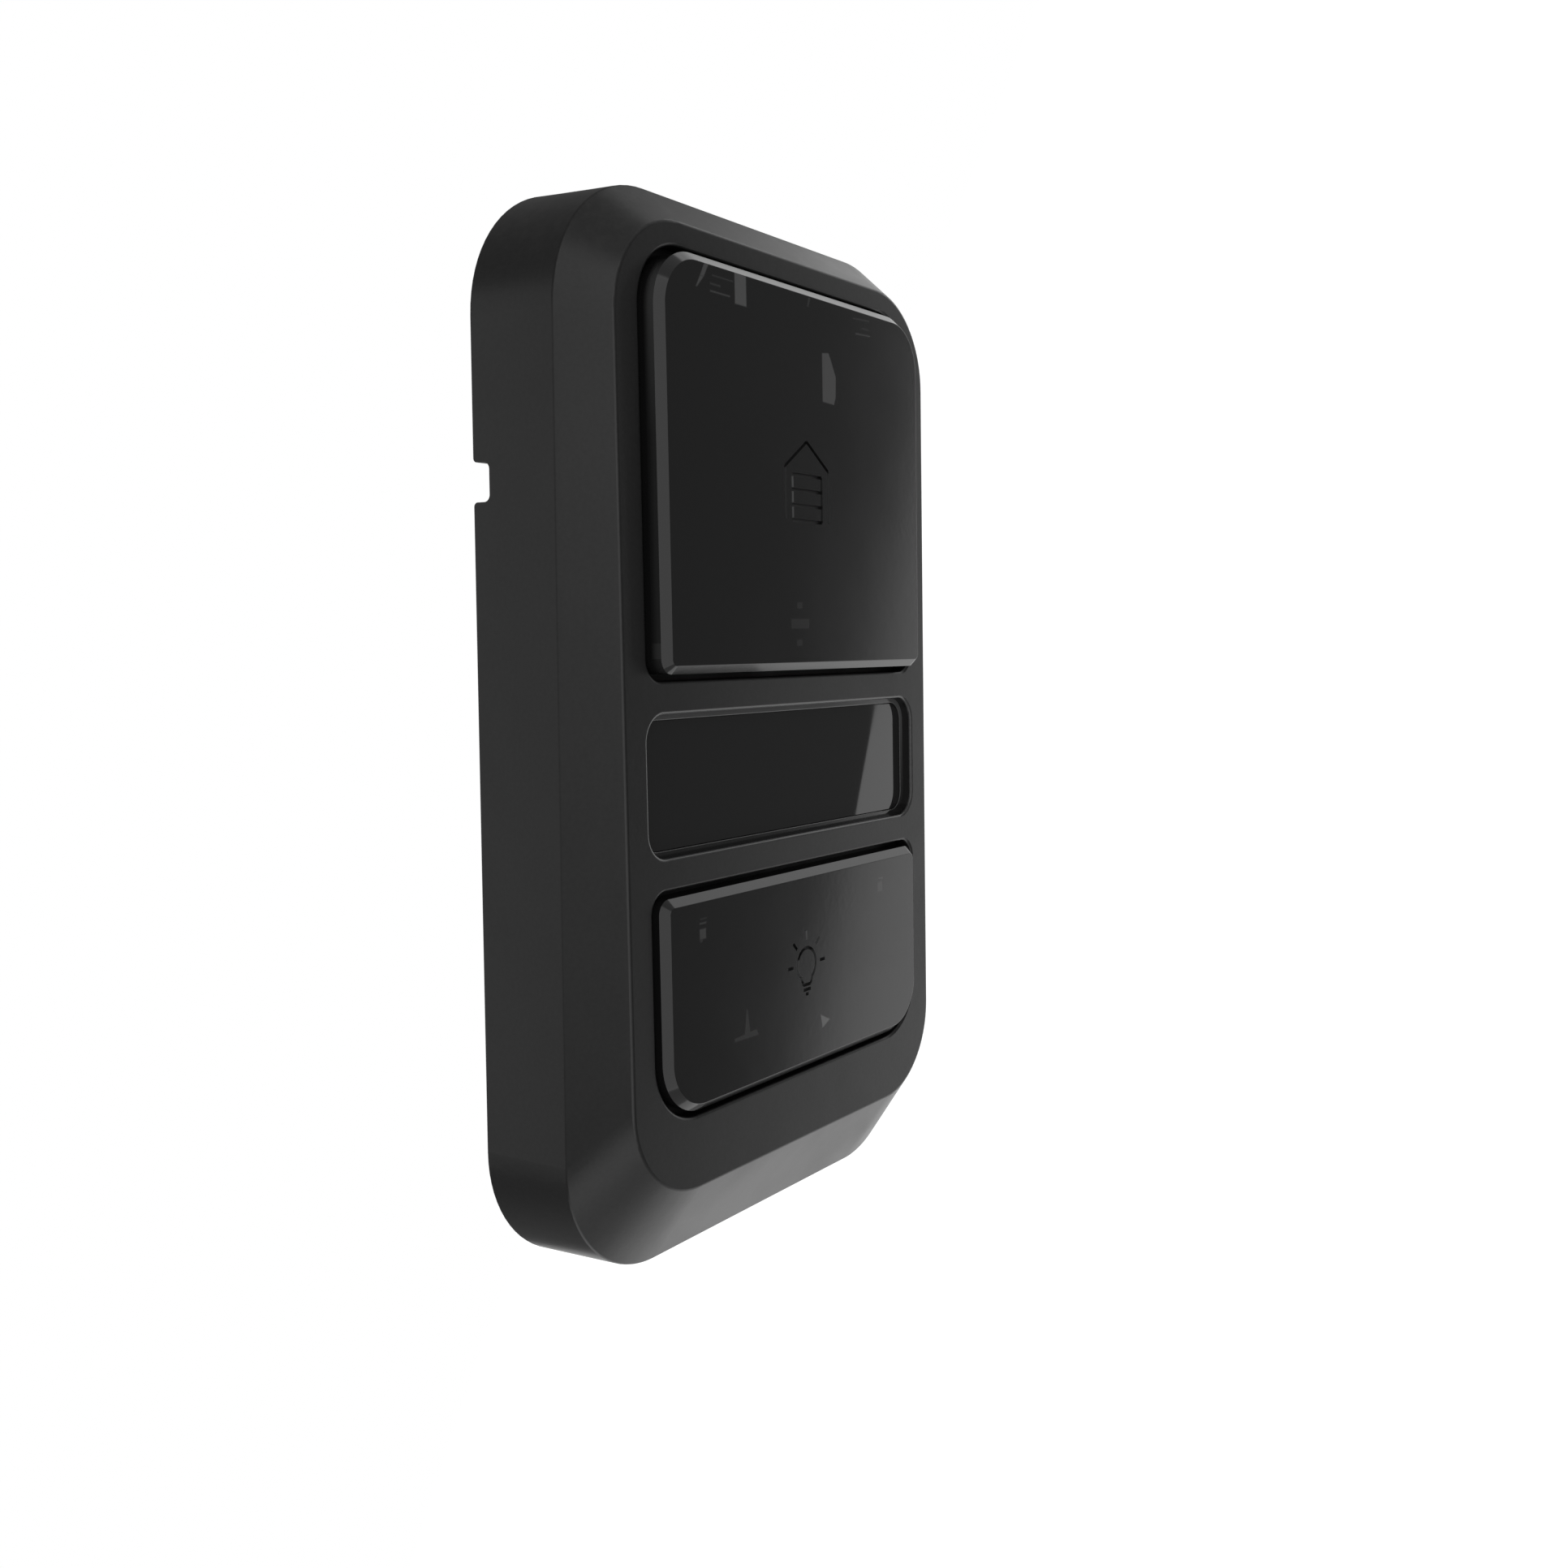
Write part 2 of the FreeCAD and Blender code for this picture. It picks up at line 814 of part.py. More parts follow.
def inner_chassis():
    """Plate that guides both buttons, seats the springs and backs the display."""
    plate = slab(
        chassis_half_width, chassis_half_height, -chassis_half_height,
        chassis_corner, chassis_corner, chassis_back, chassis_front,
    )
    added = [plate]
    for x, z in door_posts + lamp_posts:
        added.append(rod(post_radius + bush_wall, x, z, chassis_front, chassis_back + bush_length))
    for x, z in board_screw_places:
        added.append(rod(standoff_radius, x, z, chassis_front, board_front))
    rib_outer = frame_outer[0]
    rib_inner = rib_outer - rib_thickness
    rib_half = window_height / 2 - window_corner_radius
    for side in (-1, 1):
        left, right = sorted((side * rib_inner, side * rib_outer))
        rib = box(left, right, chassis_back, -REACH, window_middle - rib_half, window_middle + rib_half)
        added.append(rib.common(behind_face(-frame_back_depth)))
    light = backlight_place()
    shelf = box(-light[0], light[0], chassis_back, -REACH, light[2], light[1])
    clear = light[0] - shelf_end_width
    shelf = shelf.cut(box(-clear, clear, 0, -REACH, light[2] - PAST, light[1] + PAST))
    added.append(shelf.common(behind_face(-backlight_back_depth)))
    solid = fuse(added)
    for x, z in door_posts + lamp_posts:
        solid = solid.cut(rod(post_radius + running_clearance, x, z, 0, -REACH))
    for x, z in board_screw_places:
        solid = solid.cut(rod(small_screw_radius + thread_clearance, x, z, 0, -REACH))
    for x, z in boss_places:
        solid = solid.cut(rod(small_screw_radius + thread_clearance, x, z, 0, -REACH))
    for z in (door_switch_z, lamp_switch_z):
        half = switch_size / 2 + aperture_margin
        solid = solid.cut(box(-half, half, 0, -REACH, z - half, z + half))
    for places in led_places.values():
        for x, z in places:
            half = led_width / 2 + aperture_margin
            solid = solid.cut(box(x - half, x + half, 0, -REACH, z - half, z + half))
    strip_bottom, strip_top = strip_limits()
    half = strip_half_length + aperture_margin
    solid = solid.cut(
        box(-half, half, 0, -REACH, strip_bottom - aperture_margin, strip_top + aperture_margin)
    )
    bay_top = lamp_bottom - flange_overlap - lower_bay_gap
    bay = box(
        -lower_bay_half_width, lower_bay_half_width, 0, -REACH, bay_top - lower_bay_depth, bay_top
    )
    return solid.cut(bay)


def circuit_board():
    solid = slab(
        board_half_width, board_half_height, -board_half_height,
        board_corner, board_corner, board_back, board_front,
    )
    for x, z in board_screw_places:
        solid = solid.cut(rod(small_screw_radius + board_hole_clearance, x, z, 0, -REACH))
    return solid


def small_screw(x, z, seat):
    """Pan-head screw driven from the wall side, its head seated at a plane."""
    head = rod(small_head_radius, x, z, seat, seat + small_head_height)
    rim = edges_where(head, lambda point: abs(point.y - seat - small_head_height) < 1e-4)
    head = head.makeFillet(small_head_round, rim)
    shank = rod(small_screw_radius, x, z, seat, seat - small_screw_length)
    solid = fuse([head, shank])
    top = seat + small_head_height
    slot = box(
        x - recess_radius, x + recess_radius, top, top - recess_depth,
        z - recess_depth / 2, z + recess_depth / 2,
    )
    cross = box(
        x - recess_depth / 2, x + recess_depth / 2, top, top - recess_depth,
        z - recess_radius, z + recess_radius,
    )
    return solid.cut(slot).cut(cross)


# Wall plate

def wall_plate():
    """Plate that is screwed to the wall; the console snaps onto its latches."""
    half_width = width / 2 - wall - plate_clearance
    top = half_height - wall - plate_clearance
    radius = corner_radius - wall - plate_clearance
    added = [slab(half_width, top, -top, radius, radius, plate_back, plate_front)]
    pad_radius = screw_head_radius + pad_wall
    for side in (-1, 1):
        added.append(rod(pad_radius, 0, side * screw_spacing / 2, 0, plate_front))
    for side_x in (-1, 1):
        for side_z in (-1, 1):
            x = side_x * (half_width - foot_inset)
            z = side_z * (top - foot_inset)
            added.append(rod(foot_radius, x, z, 0, plate_front))
    for side, z in latch_places:
        added += latch(side, z)
    solid = fuse(added)
    for side in (-1, 1):
        z = side * screw_spacing / 2
        solid = solid.cut(rod(screw_hole_radius, 0, z, PAST, -REACH))
        solid = solid.cut(rod(screw_head_radius, 0, z, -screw_land, -REACH))
    window = slab(
        wire_window_width / 2, wire_window_top, wire_window_bottom,
        wire_window_corner, wire_window_corner, 0, -REACH,
    )
    return solid.cut(window)


def latch(side, z):
    """Upright arm with a barb that hooks in front of a catch on the housing."""
    arm_outer = inner_half_width - catch_reach - latch_gap
    arm_inner = arm_outer - latch_thickness
    barb_back = catch_front - latch_gap
    barb_front = barb_back - barb_thickness
    left, right = sorted((side * arm_inner, side * arm_outer))
    arm = box(left, right, plate_back, barb_front, z - latch_length / 2, z + latch_length / 2)
    left, right = sorted((side * arm_inner, side * (arm_outer + barb_reach)))
    barb = box(left, right, barb_back, barb_front, z - latch_length / 2, z + latch_length / 2)
    return [arm, barb]


# Parts on the board

def switch_body(z):
    half = switch_size / 2
    body = box(-half, half, board_front, board_front - switch_height, z - half, z + half)
    upright = [edge for edge in body.Edges if abs(edge.tangentAt(edge.FirstParameter).y) > 0.9]
    body = body.makeChamfer(switch_corner, upright)
    bore_end = plunger_tip + plunger_length + button_travel + plunger_floor_gap
    return body.cut(rod(plunger_radius + running_clearance, 0, z, bore_end, -REACH))


def switch_plunger(z):
    return rod(plunger_radius, 0, z, plunger_tip + plunger_length, plunger_tip)


def led(x, z):
    """Small lamp: a flat base with a domed top."""
    half = led_width / 2
    half_rise = led_base_depth / 2
    base = box(
        x - half, x + half, board_front, board_front - led_base_height, z - half_rise, z + half_rise
    )
    dome = rod(led_dome_radius, x, z, board_front, board_front - led_height)
    rim = edges_where(dome, lambda point: abs(point.y - board_front + led_height) < 1e-4)
    return fuse([base, dome.makeFillet(led_dome_round, rim)])


terminal_top = terminal_bottom + terminal_depth
terminal_rear = -terminal_recess
terminal_floor = board_back + terminal_wall
terminal_places = [
    (side * terminal_pitch / 2, terminal_bottom + terminal_depth / 2) for side in (-1, 1)
]


def terminal_block():
    """Block with two wire slots, open below, and a screw bore over each."""
    half_width = terminal_pitch + terminal_end_wall
    solid = box(
        -half_width, half_width, board_back, terminal_rear, terminal_bottom, terminal_top
    )
    half = terminal_slot_width / 2
    slot_roof = terminal_floor + terminal_slot_height
    for x, z in terminal_places:
        slot = box(x - half, x + half, terminal_floor, slot_roof, terminal_bottom - PAST, z + half)
        bore = rod(terminal_screw_radius + running_clearance, x, z, terminal_floor + PAST, REACH)
        solid = solid.cut(slot).cut(bore)
    return solid


def terminal_clamp(x, z):
    """Brass plate at the bottom of a terminal's slot."""
    half = terminal_slot_width / 2 - clamp_fit
    front = terminal_floor + clamp_thickness
    return box(x - half, x + half, terminal_floor, front, terminal_bottom + clamp_inset, z + half)


def terminal_screw(x, z):
    """Slotted screw that presses a wire on its clamp."""
    tip = terminal_floor + clamp_thickness + contact_gap
    top = terminal_rear - terminal_head_recess
    shank = rod(terminal_shank_radius, x, z, tip, top)
    head = rod(terminal_screw_radius, x, z, top - terminal_head_height, top)
    half_length = terminal_screw_radius + PAST
    half = driver_slot_width / 2
    slot = box(
        x - half_length, x + half_length, top - driver_slot_depth, top + PAST, z - half, z + half
    )
    return fuse([shank, head]).cut(slot)


def on_board(x, z, size_x, size_z, tall):
    """Block that stands on the front of the board."""
    return box(
        x - size_x / 2, x + size_x / 2, board_front, board_front - tall,
        z - size_z / 2, z + size_z / 2,
    )


bay_middle = lamp_bottom - flange_overlap - lower_bay_gap - lower_bay_depth / 2


def microcontroller():
    """Square chip with a row of legs on each side."""
    z = board_half_height - chip_drop
    body = on_board(chip_x, z, chip_size, chip_size, chip_height)
    top = edges_where(body, lambda point: abs(point.y - board_front + chip_height) < 1e-4)
    solids = [body.makeChamfer(chip_edge, top)]
    pitch = chip_size / (leg_count + 1)
    out = (chip_size + leg_reach - leg_overlap) / 2
    long = leg_reach + leg_overlap
    for leg in range(leg_count):
        along = (leg - (leg_count - 1) / 2) * pitch
        for side in (-1, 1):
            away = side * out
            solids.append(on_board(chip_x + away, z + along, long, leg_width, leg_height))
            solids.append(on_board(chip_x + along, z + away, leg_width, long, leg_height))
    return fuse(solids)


def radio_module():
    """Small daughter board with a metal can, clear of its antenna end."""
    card = on_board(radio_x, bay_middle, radio_width, radio_depth, radio_board)
    can_width = radio_width - radio_antenna_room - radio_can_inset
    can_x = radio_x + (radio_antenna_room - radio_can_inset) / 2
    can_depth = radio_depth - 2 * radio_can_inset
    can = on_board(can_x, bay_middle, can_width, can_depth, radio_height)
    return fuse([card, can])


def power_capacitor():
    """Round can on a square foot."""
    size = 2 * (capacitor_radius + capacitor_foot_margin)
    foot = on_board(capacitor_x, bay_middle, size, size, capacitor_foot_height)
    can = rod(capacitor_radius, capacitor_x, bay_middle, board_front, board_front - capacitor_height)
    rim = edges_where(can, lambda point: abs(point.y - board_front + capacitor_height) < 1e-4)
    return fuse([foot, can.makeFillet(capacitor_round, rim)])


def voltage_regulator():
    return on_board(regulator_x, bay_middle, regulator_depth, regulator_width, regulator_height)


def chip_components():
    """Rows of small resistors and capacitors."""
    solids = []
    for drop in component_drops:
        for column in range(component_count):
            x = component_start + column * component_pitch
            z = board_half_height - drop
            solids.append(on_board(x, z, component_width, component_length, component_height))
    return Part.makeCompound(solids)


def all_parts():
    """Every named piece of the control."""
    house = [groove(stroke) for stroke in house_strokes()]
    bulb = [groove(stroke) for stroke in bulb_strokes()] + [bulb_ring()]
    door = openings["door"]
    lamp = openings["lamp"]
    return {
        "front_housing": front_housing(),
        "wall_plate": wall_plate(),
        "inner_chassis": inner_chassis(),
        "chassis_screws": Part.makeCompound(
            [small_screw(x, z, chassis_back) for x, z in boss_places]
        ),
        "circuit_board": circuit_board(),
        "board_screws": Part.makeCompound(
            [small_screw(x, z, board_back) for x, z in board_screw_places]
        ),
        "door_button_cap": button_cap(door, door_cap_proud, house),
        "door_button_base": button_base(
            door, door_cap_proud, door_roof, door_posts, door_switch_z, door_middle
        ),
        "door_light_guide": light_guide(door_cap_proud, door_middle),
        "door_return_springs": Part.makeCompound([spring(x, z, door_roof) for x, z in door_posts]),
        "door_switch_body": switch_body(door_switch_z),
        "door_switch_plunger": switch_plunger(door_switch_z),
        "lamp_button_cap": button_cap(lamp, lamp_cap_proud, bulb),
        "lamp_button_base": button_base(
            lamp, lamp_cap_proud, lamp_roof, lamp_posts, lamp_switch_z, lamp_middle
        ),
        "lamp_light_guide": light_guide(lamp_cap_proud, lamp_middle),
        "lamp_return_springs": Part.makeCompound([spring(x, z, lamp_roof) for x, z in lamp_posts]),
        "lamp_switch_body": switch_body(lamp_switch_z),
        "lamp_switch_plunger": switch_plunger(lamp_switch_z),
        "display_frame": display_frame(),
        "display_gasket": display_gasket(),
        "display_lens": display_lens(),
        "display_panel": display_panel(),
        "display_backlight": display_backlight(),
        "display_contact_strip": display_contact_strip(),
        "door_leds": Part.makeCompound([led(x, z) for x, z in led_places["door"]]),
        "lamp_leds": Part.makeCompound([led(x, z) for x, z in led_places["lamp"]]),
        "microcontroller": microcontroller(),
        "radio_module": radio_module(),
        "power_capacitor": power_capacitor(),
        "voltage_regulator": voltage_regulator(),
        "chip_components": chip_components(),
        "terminal_block": terminal_block(),
        "terminal_clamps": Part.makeCompound([terminal_clamp(x, z) for x, z in terminal_places]),
        "terminal_screws": Part.makeCompound([terminal_screw(x, z) for x, z in terminal_places]),
    }


os.makedirs(OUT_DIR, exist_ok=True)
for part_name, part_shape in all_parts().items():
    save(part_name, part_shape)
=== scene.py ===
# %% [markdown]
# # A wall control for a garage door
# The model is a black wall panel with a bevelled shell, a large glossy door
# button, a recessed display window and a lamp button. Every solid comes from
# the CAD frame, so this script gives each one its finish, then adds the
# studio, the lights and the camera. All lengths are in metres, and one that
# reads better in millimetres is written with MM.

# %% Load the frame
import bpy
import json
import math
from mathutils import Matrix, Vector


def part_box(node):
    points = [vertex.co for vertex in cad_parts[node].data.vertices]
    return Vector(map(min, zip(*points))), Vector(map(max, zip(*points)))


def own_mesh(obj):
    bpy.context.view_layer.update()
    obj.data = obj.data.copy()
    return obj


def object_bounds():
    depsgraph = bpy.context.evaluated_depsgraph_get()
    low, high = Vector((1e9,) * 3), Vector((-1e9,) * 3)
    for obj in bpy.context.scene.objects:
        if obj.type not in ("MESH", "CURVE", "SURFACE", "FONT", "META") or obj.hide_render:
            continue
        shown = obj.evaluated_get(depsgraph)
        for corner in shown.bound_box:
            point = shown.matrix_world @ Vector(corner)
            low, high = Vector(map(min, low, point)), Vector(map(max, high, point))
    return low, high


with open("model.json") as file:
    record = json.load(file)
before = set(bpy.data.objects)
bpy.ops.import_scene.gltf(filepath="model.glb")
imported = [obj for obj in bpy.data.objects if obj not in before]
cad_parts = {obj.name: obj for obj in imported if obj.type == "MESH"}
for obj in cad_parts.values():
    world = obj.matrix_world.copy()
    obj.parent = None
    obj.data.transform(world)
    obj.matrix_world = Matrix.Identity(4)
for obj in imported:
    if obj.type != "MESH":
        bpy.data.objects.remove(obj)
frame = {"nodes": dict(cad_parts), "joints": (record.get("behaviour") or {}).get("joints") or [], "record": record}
cad_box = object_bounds()
nodes = frame["nodes"]
slot_of = {part["node"]: part["material_slot"] for part in frame["record"]["subparts"]}
MM = 0.001

# %% [markdown]
# ## Smooth curves, crisp edges
# A moulding has soft corners that flow and flat faces that stay flat. Shading
# every face flat would show the facets of the corners, and shading everything
# smooth would bend the light on the flats. Marking an edge as sharp where its
# faces meet at more than a set angle keeps both.

# %% Shade by angle
SMOOTH_BELOW = math.radians(24)

for piece in nodes.values():
    piece.data.shade_smooth()
    piece.data.set_sharp_from_angle(angle=SMOOTH_BELOW)
print("shaded", len(nodes), "nodes by angle")

# %% [markdown]
# ## Helpers for node trees
# A material is a small network of nodes. These two helpers add a node, set
# its inputs and join it to others, whatever kind of node it is.

# %% Node helpers


def set_input(tree, socket, value):
    """Joins another node's output to an input, or writes a plain value there."""
    if isinstance(value, bpy.types.NodeSocket):
        tree.links.new(value, socket)
    else:
        socket.default_value = value


def add_node(tree, kind, settings=None, **inputs):
    """New node in a tree. Inputs go by name with _ for spaces, or by number as i0, i1 and so on."""
    made = tree.nodes.new(kind)
    for name, value in (settings or {}).items():
        setattr(made, name, value)
    for name, value in inputs.items():
        numbered = name[0] == "i" and name[1:].isdigit()
        key = int(name[1:]) if numbered else name.replace("_", " ")
        set_input(tree, made.inputs[key], value)
    return made


print("node helpers ready")

# %% [markdown]
# ## The nodes that most finishes need
# A few kinds of node come back in nearly every finish: sums, vectors, noise
# and changes of range. Each gets a helper that gives its result, so that a
# finish below reads as a short list.

# %% Common nodes


def calculate(tree, operation, first, second=0.0, third=0.0):
    """Result of a sum, a product or another operation on up to three numbers."""
    made = add_node(tree, "ShaderNodeMath", {"operation": operation}, i0=first, i1=second, i2=third)
    return made.outputs[0]


def dot(tree, first, second):
    """Dot product of two vectors: how far the first reaches along the second."""
    made = add_node(tree, "ShaderNodeVectorMath", {"operation": "DOT_PRODUCT"}, i0=first, i1=second)
    return made.outputs["Value"]


def split_vector(tree, vector):
    """X, Y and Z of a vector, by name."""
    return add_node(tree, "ShaderNodeSeparateXYZ", None, Vector=vector).outputs


def object_place(tree):
    """Place on the object in metres. It moves with the object."""
    return add_node(tree, "ShaderNodeTexCoord").outputs["Object"]


def noise(tree, place, scale, detail=2.0, distortion=0.0):
    """Cloudy value round 0.5."""
    made = add_node(
        tree, "ShaderNodeTexNoise", None,
        Vector=place, Scale=scale, Detail=detail, Distortion=distortion,
    )
    return made.outputs[0]


def remap(tree, value, low, high, new_low=0.0, new_high=1.0):
    """Value stretched from one range to another and clamped there."""
    made = add_node(
        tree, "ShaderNodeMapRange", None,
        Value=value, From_Min=low, From_Max=high, To_Min=new_low, To_Max=new_high,
    )
    return made.outputs[0]


print("common nodes ready")

# %% [markdown]
# ## Helpers for colours
# A colour is four numbers, the last of them 1 for a solid surface. Most of
# this panel is some shade of black, and a worn or dusty spot is a tone of the
# same colour.

# %% Colour helpers


def grey(level):
    """Neutral colour with its alpha."""
    return (level, level, level, 1.0)


def tone(colour, share, lift=0.0):
    """Darker or paler tone of a colour."""
    return tuple(min(1.0, share * part + lift) for part in colour[:3]) + (1.0,)


def blend_colour(tree, mask, below, above):
    """Colour that goes from below to above as the mask goes from 0 to 1."""
    made = add_node(tree, "ShaderNodeMix", {"data_type": "RGBA"}, i0=mask, i6=below, i7=above)
    return made.outputs[2]


print("colour helpers ready")

# %% [markdown]
# ## Helpers for groups
# An effect that several finishes share is built once as a group, a small tree
# with named inputs and outputs. Each finish then places the group with its
# own values, so a change to the effect reaches all of them.

# %% Group helpers


def new_group(name, inputs, outputs):
    """Empty shader group with number inputs and number outputs."""
    group = bpy.data.node_groups.new(name, "ShaderNodeTree")
    for label, value in inputs.items():
        socket = group.interface.new_socket(label, in_out="INPUT", socket_type="NodeSocketFloat")
        socket.default_value = value
    for label in outputs:
        group.interface.new_socket(label, in_out="OUTPUT", socket_type="NodeSocketFloat")
    return group, group.nodes.new("NodeGroupInput"), group.nodes.new("NodeGroupOutput")


def place_group(tree, group, **inputs):
    """One use of a group inside a material, with its own values."""
    made = tree.nodes.new("ShaderNodeGroup")
    made.node_tree = group
    for name, value in inputs.items():
        made.inputs[name.replace("_", " ")].default_value = value
    return made


print("group helpers ready")

# %% [markdown]
# ## Moulding grain
# Matt plastic gets its look from a fine texture etched into the mould. Noise
# in two sizes gives that grain as a height. The position is read in object
# space, so the grain keeps its real size on every piece.

# %% Group: moulding grain
COARSE_SHARE = 0.31

grain_group, grain_in, grain_out = new_group(
    "moulding_grain", {"Grain size": 0.4 * MM, "Depth": 0.5}, ["Height", "Fleck"]
)
grain_place = object_place(grain_group)
frequency = calculate(grain_group, "DIVIDE", 1.0, grain_in.outputs["Grain size"])
coarse_frequency = calculate(grain_group, "MULTIPLY", frequency, COARSE_SHARE)
fine = noise(grain_group, grain_place, frequency)
coarse = noise(grain_group, grain_place, coarse_frequency)
both = calculate(grain_group, "ADD", fine, coarse)
height = calculate(grain_group, "MULTIPLY", both, grain_in.outputs["Depth"])
fleck = remap(grain_group, fine, low=0.35, high=0.65)
grain_group.links.new(height, grain_out.inputs["Height"])
grain_group.links.new(fleck, grain_out.inputs["Fleck"])
print("made group", grain_group.name)

# %% [markdown]
# ## Worn edges
# Fingers and cleaning polish the edges of a panel first. A bevel node bends
# the normal near an edge, so where it differs from the true normal there is
# an edge. Noise breaks the band up, as real wear is never even.

# %% Group: worn edges
wear_group, wear_in, wear_out = new_group("worn_edges", {"Width": 0.4 * MM, "Amount": 0.5}, ["Mask"])
rounded = add_node(wear_group, "ShaderNodeBevel", {"samples": 4}, Radius=wear_in.outputs["Width"])
true_normal = add_node(wear_group, "ShaderNodeNewGeometry").outputs["Normal"]
likeness = dot(wear_group, rounded.outputs[0], true_normal)
edge = remap(wear_group, likeness, low=0.998, high=0.90)
patches = noise(wear_group, object_place(wear_group), 180.0, detail=4.0)
uneven = remap(wear_group, patches, low=0.35, high=0.65, new_low=0.35, new_high=1.0)
broken_edge = calculate(wear_group, "MULTIPLY", edge, uneven)
wear = calculate(wear_group, "MULTIPLY", broken_edge, wear_in.outputs["Amount"])
wear_group.links.new(wear, wear_out.inputs["Mask"])
print("made group", wear_group.name)

# %% [markdown]
# ## Settled dust
# A little dust lies on faces that look up. The upward part of the normal
# gives the place and noise gives the specks.

# %% Group: settled dust
dust_group, dust_in, dust_out = new_group("settled_dust", {"Amount": 0.2, "Speck size": 1.2 * MM}, ["Mask"])
dusty_normal = add_node(dust_group, "ShaderNodeNewGeometry").outputs["Normal"]
upward = remap(dust_group, split_vector(dust_group, dusty_normal)["Z"], low=0.25, high=1.0)
speck_frequency = calculate(dust_group, "DIVIDE", 1.0, dust_in.outputs["Speck size"])
specks = noise(dust_group, object_place(dust_group), speck_frequency, detail=5.0)
speck_mask = remap(dust_group, specks, low=0.45, high=0.72)
lying = calculate(dust_group, "MULTIPLY", upward, speck_mask)
dust = calculate(dust_group, "MULTIPLY", lying, dust_in.outputs["Amount"])
dust_group.links.new(dust, dust_out.inputs["Mask"])
print("made group", dust_group.name)

# %% [markdown]
# ## Handling film
# Polished plastic is never equally smooth all over: hands leave a dull film.
# A distorted noise in large patches varies the roughness gently between a
# clean value and a touched one.

# %% Group: handling film
film_group, film_in, film_out = new_group(
    "handling_film", {"Patch size": 20 * MM, "Clean": 0.1, "Touched": 0.2}, ["Roughness"]
)
patch_frequency = calculate(film_group, "DIVIDE", 1.0, film_in.outputs["Patch size"])
clouds = noise(film_group, object_place(film_group), patch_frequency, detail=6.0, distortion=0.4)
touched_mask = remap(film_group, clouds, low=0.4, high=0.7)
spread = calculate(film_group, "SUBTRACT", film_in.outputs["Touched"], film_in.outputs["Clean"])
film_value = calculate(film_group, "MULTIPLY_ADD", touched_mask, spread, film_in.outputs["Clean"])
film_group.links.new(film_value, film_out.inputs["Roughness"])
print("made group", film_group.name)

# %% [markdown]
# ## Start and end of a finish
# Every finish starts as an empty material that is kept under its name, so
# that the pieces can be dressed from a table later. It ends when its colour,
# its roughness and its small relief are joined to the shader. Values that are
# the same all over sit on the shader's own sockets.

# %% Finish helpers
finishes = {}


def start_finish(name):
    """Empty material, kept under its name. Gives its tree and its shader."""
    material = bpy.data.materials.new(name)
    material.use_nodes = True
    finishes[name] = material
    return material.node_tree, material.node_tree.nodes["Principled BSDF"]


def film_roughness(tree, patch_size, clean, touched):
    """Roughness that varies where hands have been."""
    film = place_group(tree, film_group, Patch_size=patch_size, Clean=clean, Touched=touched)
    return film.outputs["Roughness"]


def end_finish(tree, shader, colour, roughness, height=None, relief=0.0):
    """Joins colour and roughness to a shader, and a height with its relief as bump."""
    tree.links.new(colour, shader.inputs["Base Color"])
    tree.links.new(roughness, shader.inputs["Roughness"])
    if height is not None:
        bump = add_node(tree, "ShaderNodeBump", None, Height=height, Distance=relief, Strength=1.0)
        tree.links.new(bump.outputs[0], shader.inputs["Normal"])


print("finish helpers ready")

# %% [markdown]
# ## One recipe for moulded pieces
# Most pieces are moulded plastic and differ in colour, gloss and grain. One
# function builds the whole finish: grain as bump, worn edges and dust in the
# colour, a handling film in the roughness. Dust also dulls the surface.

# %% Recipe for moulded plastic
DUST_COLOUR = (0.34, 0.33, 0.31, 1.0)
DUST_DULLS = 0.4


def moulded(name, colour, clean, touched, grain, relief, wear, dust, specular=0.5):
    """Moulded plastic with grain, worn edges, dust and a handling film. Grain and relief in mm."""
    tree, shader = start_finish(name)
    etching = place_group(tree, grain_group, Grain_size=grain * MM, Depth=0.5)
    worn = place_group(tree, wear_group, Width=0.35 * MM, Amount=wear).outputs["Mask"]
    dusty = place_group(tree, dust_group, Amount=dust, Speck_size=1.2 * MM).outputs["Mask"]
    base = blend_colour(tree, etching.outputs["Fleck"], tone(colour, 0.82), colour)
    base = blend_colour(tree, worn, base, tone(colour, 1.9, lift=0.01))
    base = blend_colour(tree, dusty, base, DUST_COLOUR)
    film = film_roughness(tree, 16 * MM, clean, touched)
    rough = calculate(tree, "MULTIPLY_ADD", dusty, DUST_DULLS, film)
    shader.inputs["Specular IOR Level"].default_value = specular
    end_finish(tree, shader, base, rough, etching.outputs["Height"], relief * MM)


print("recipe for moulded plastic ready")
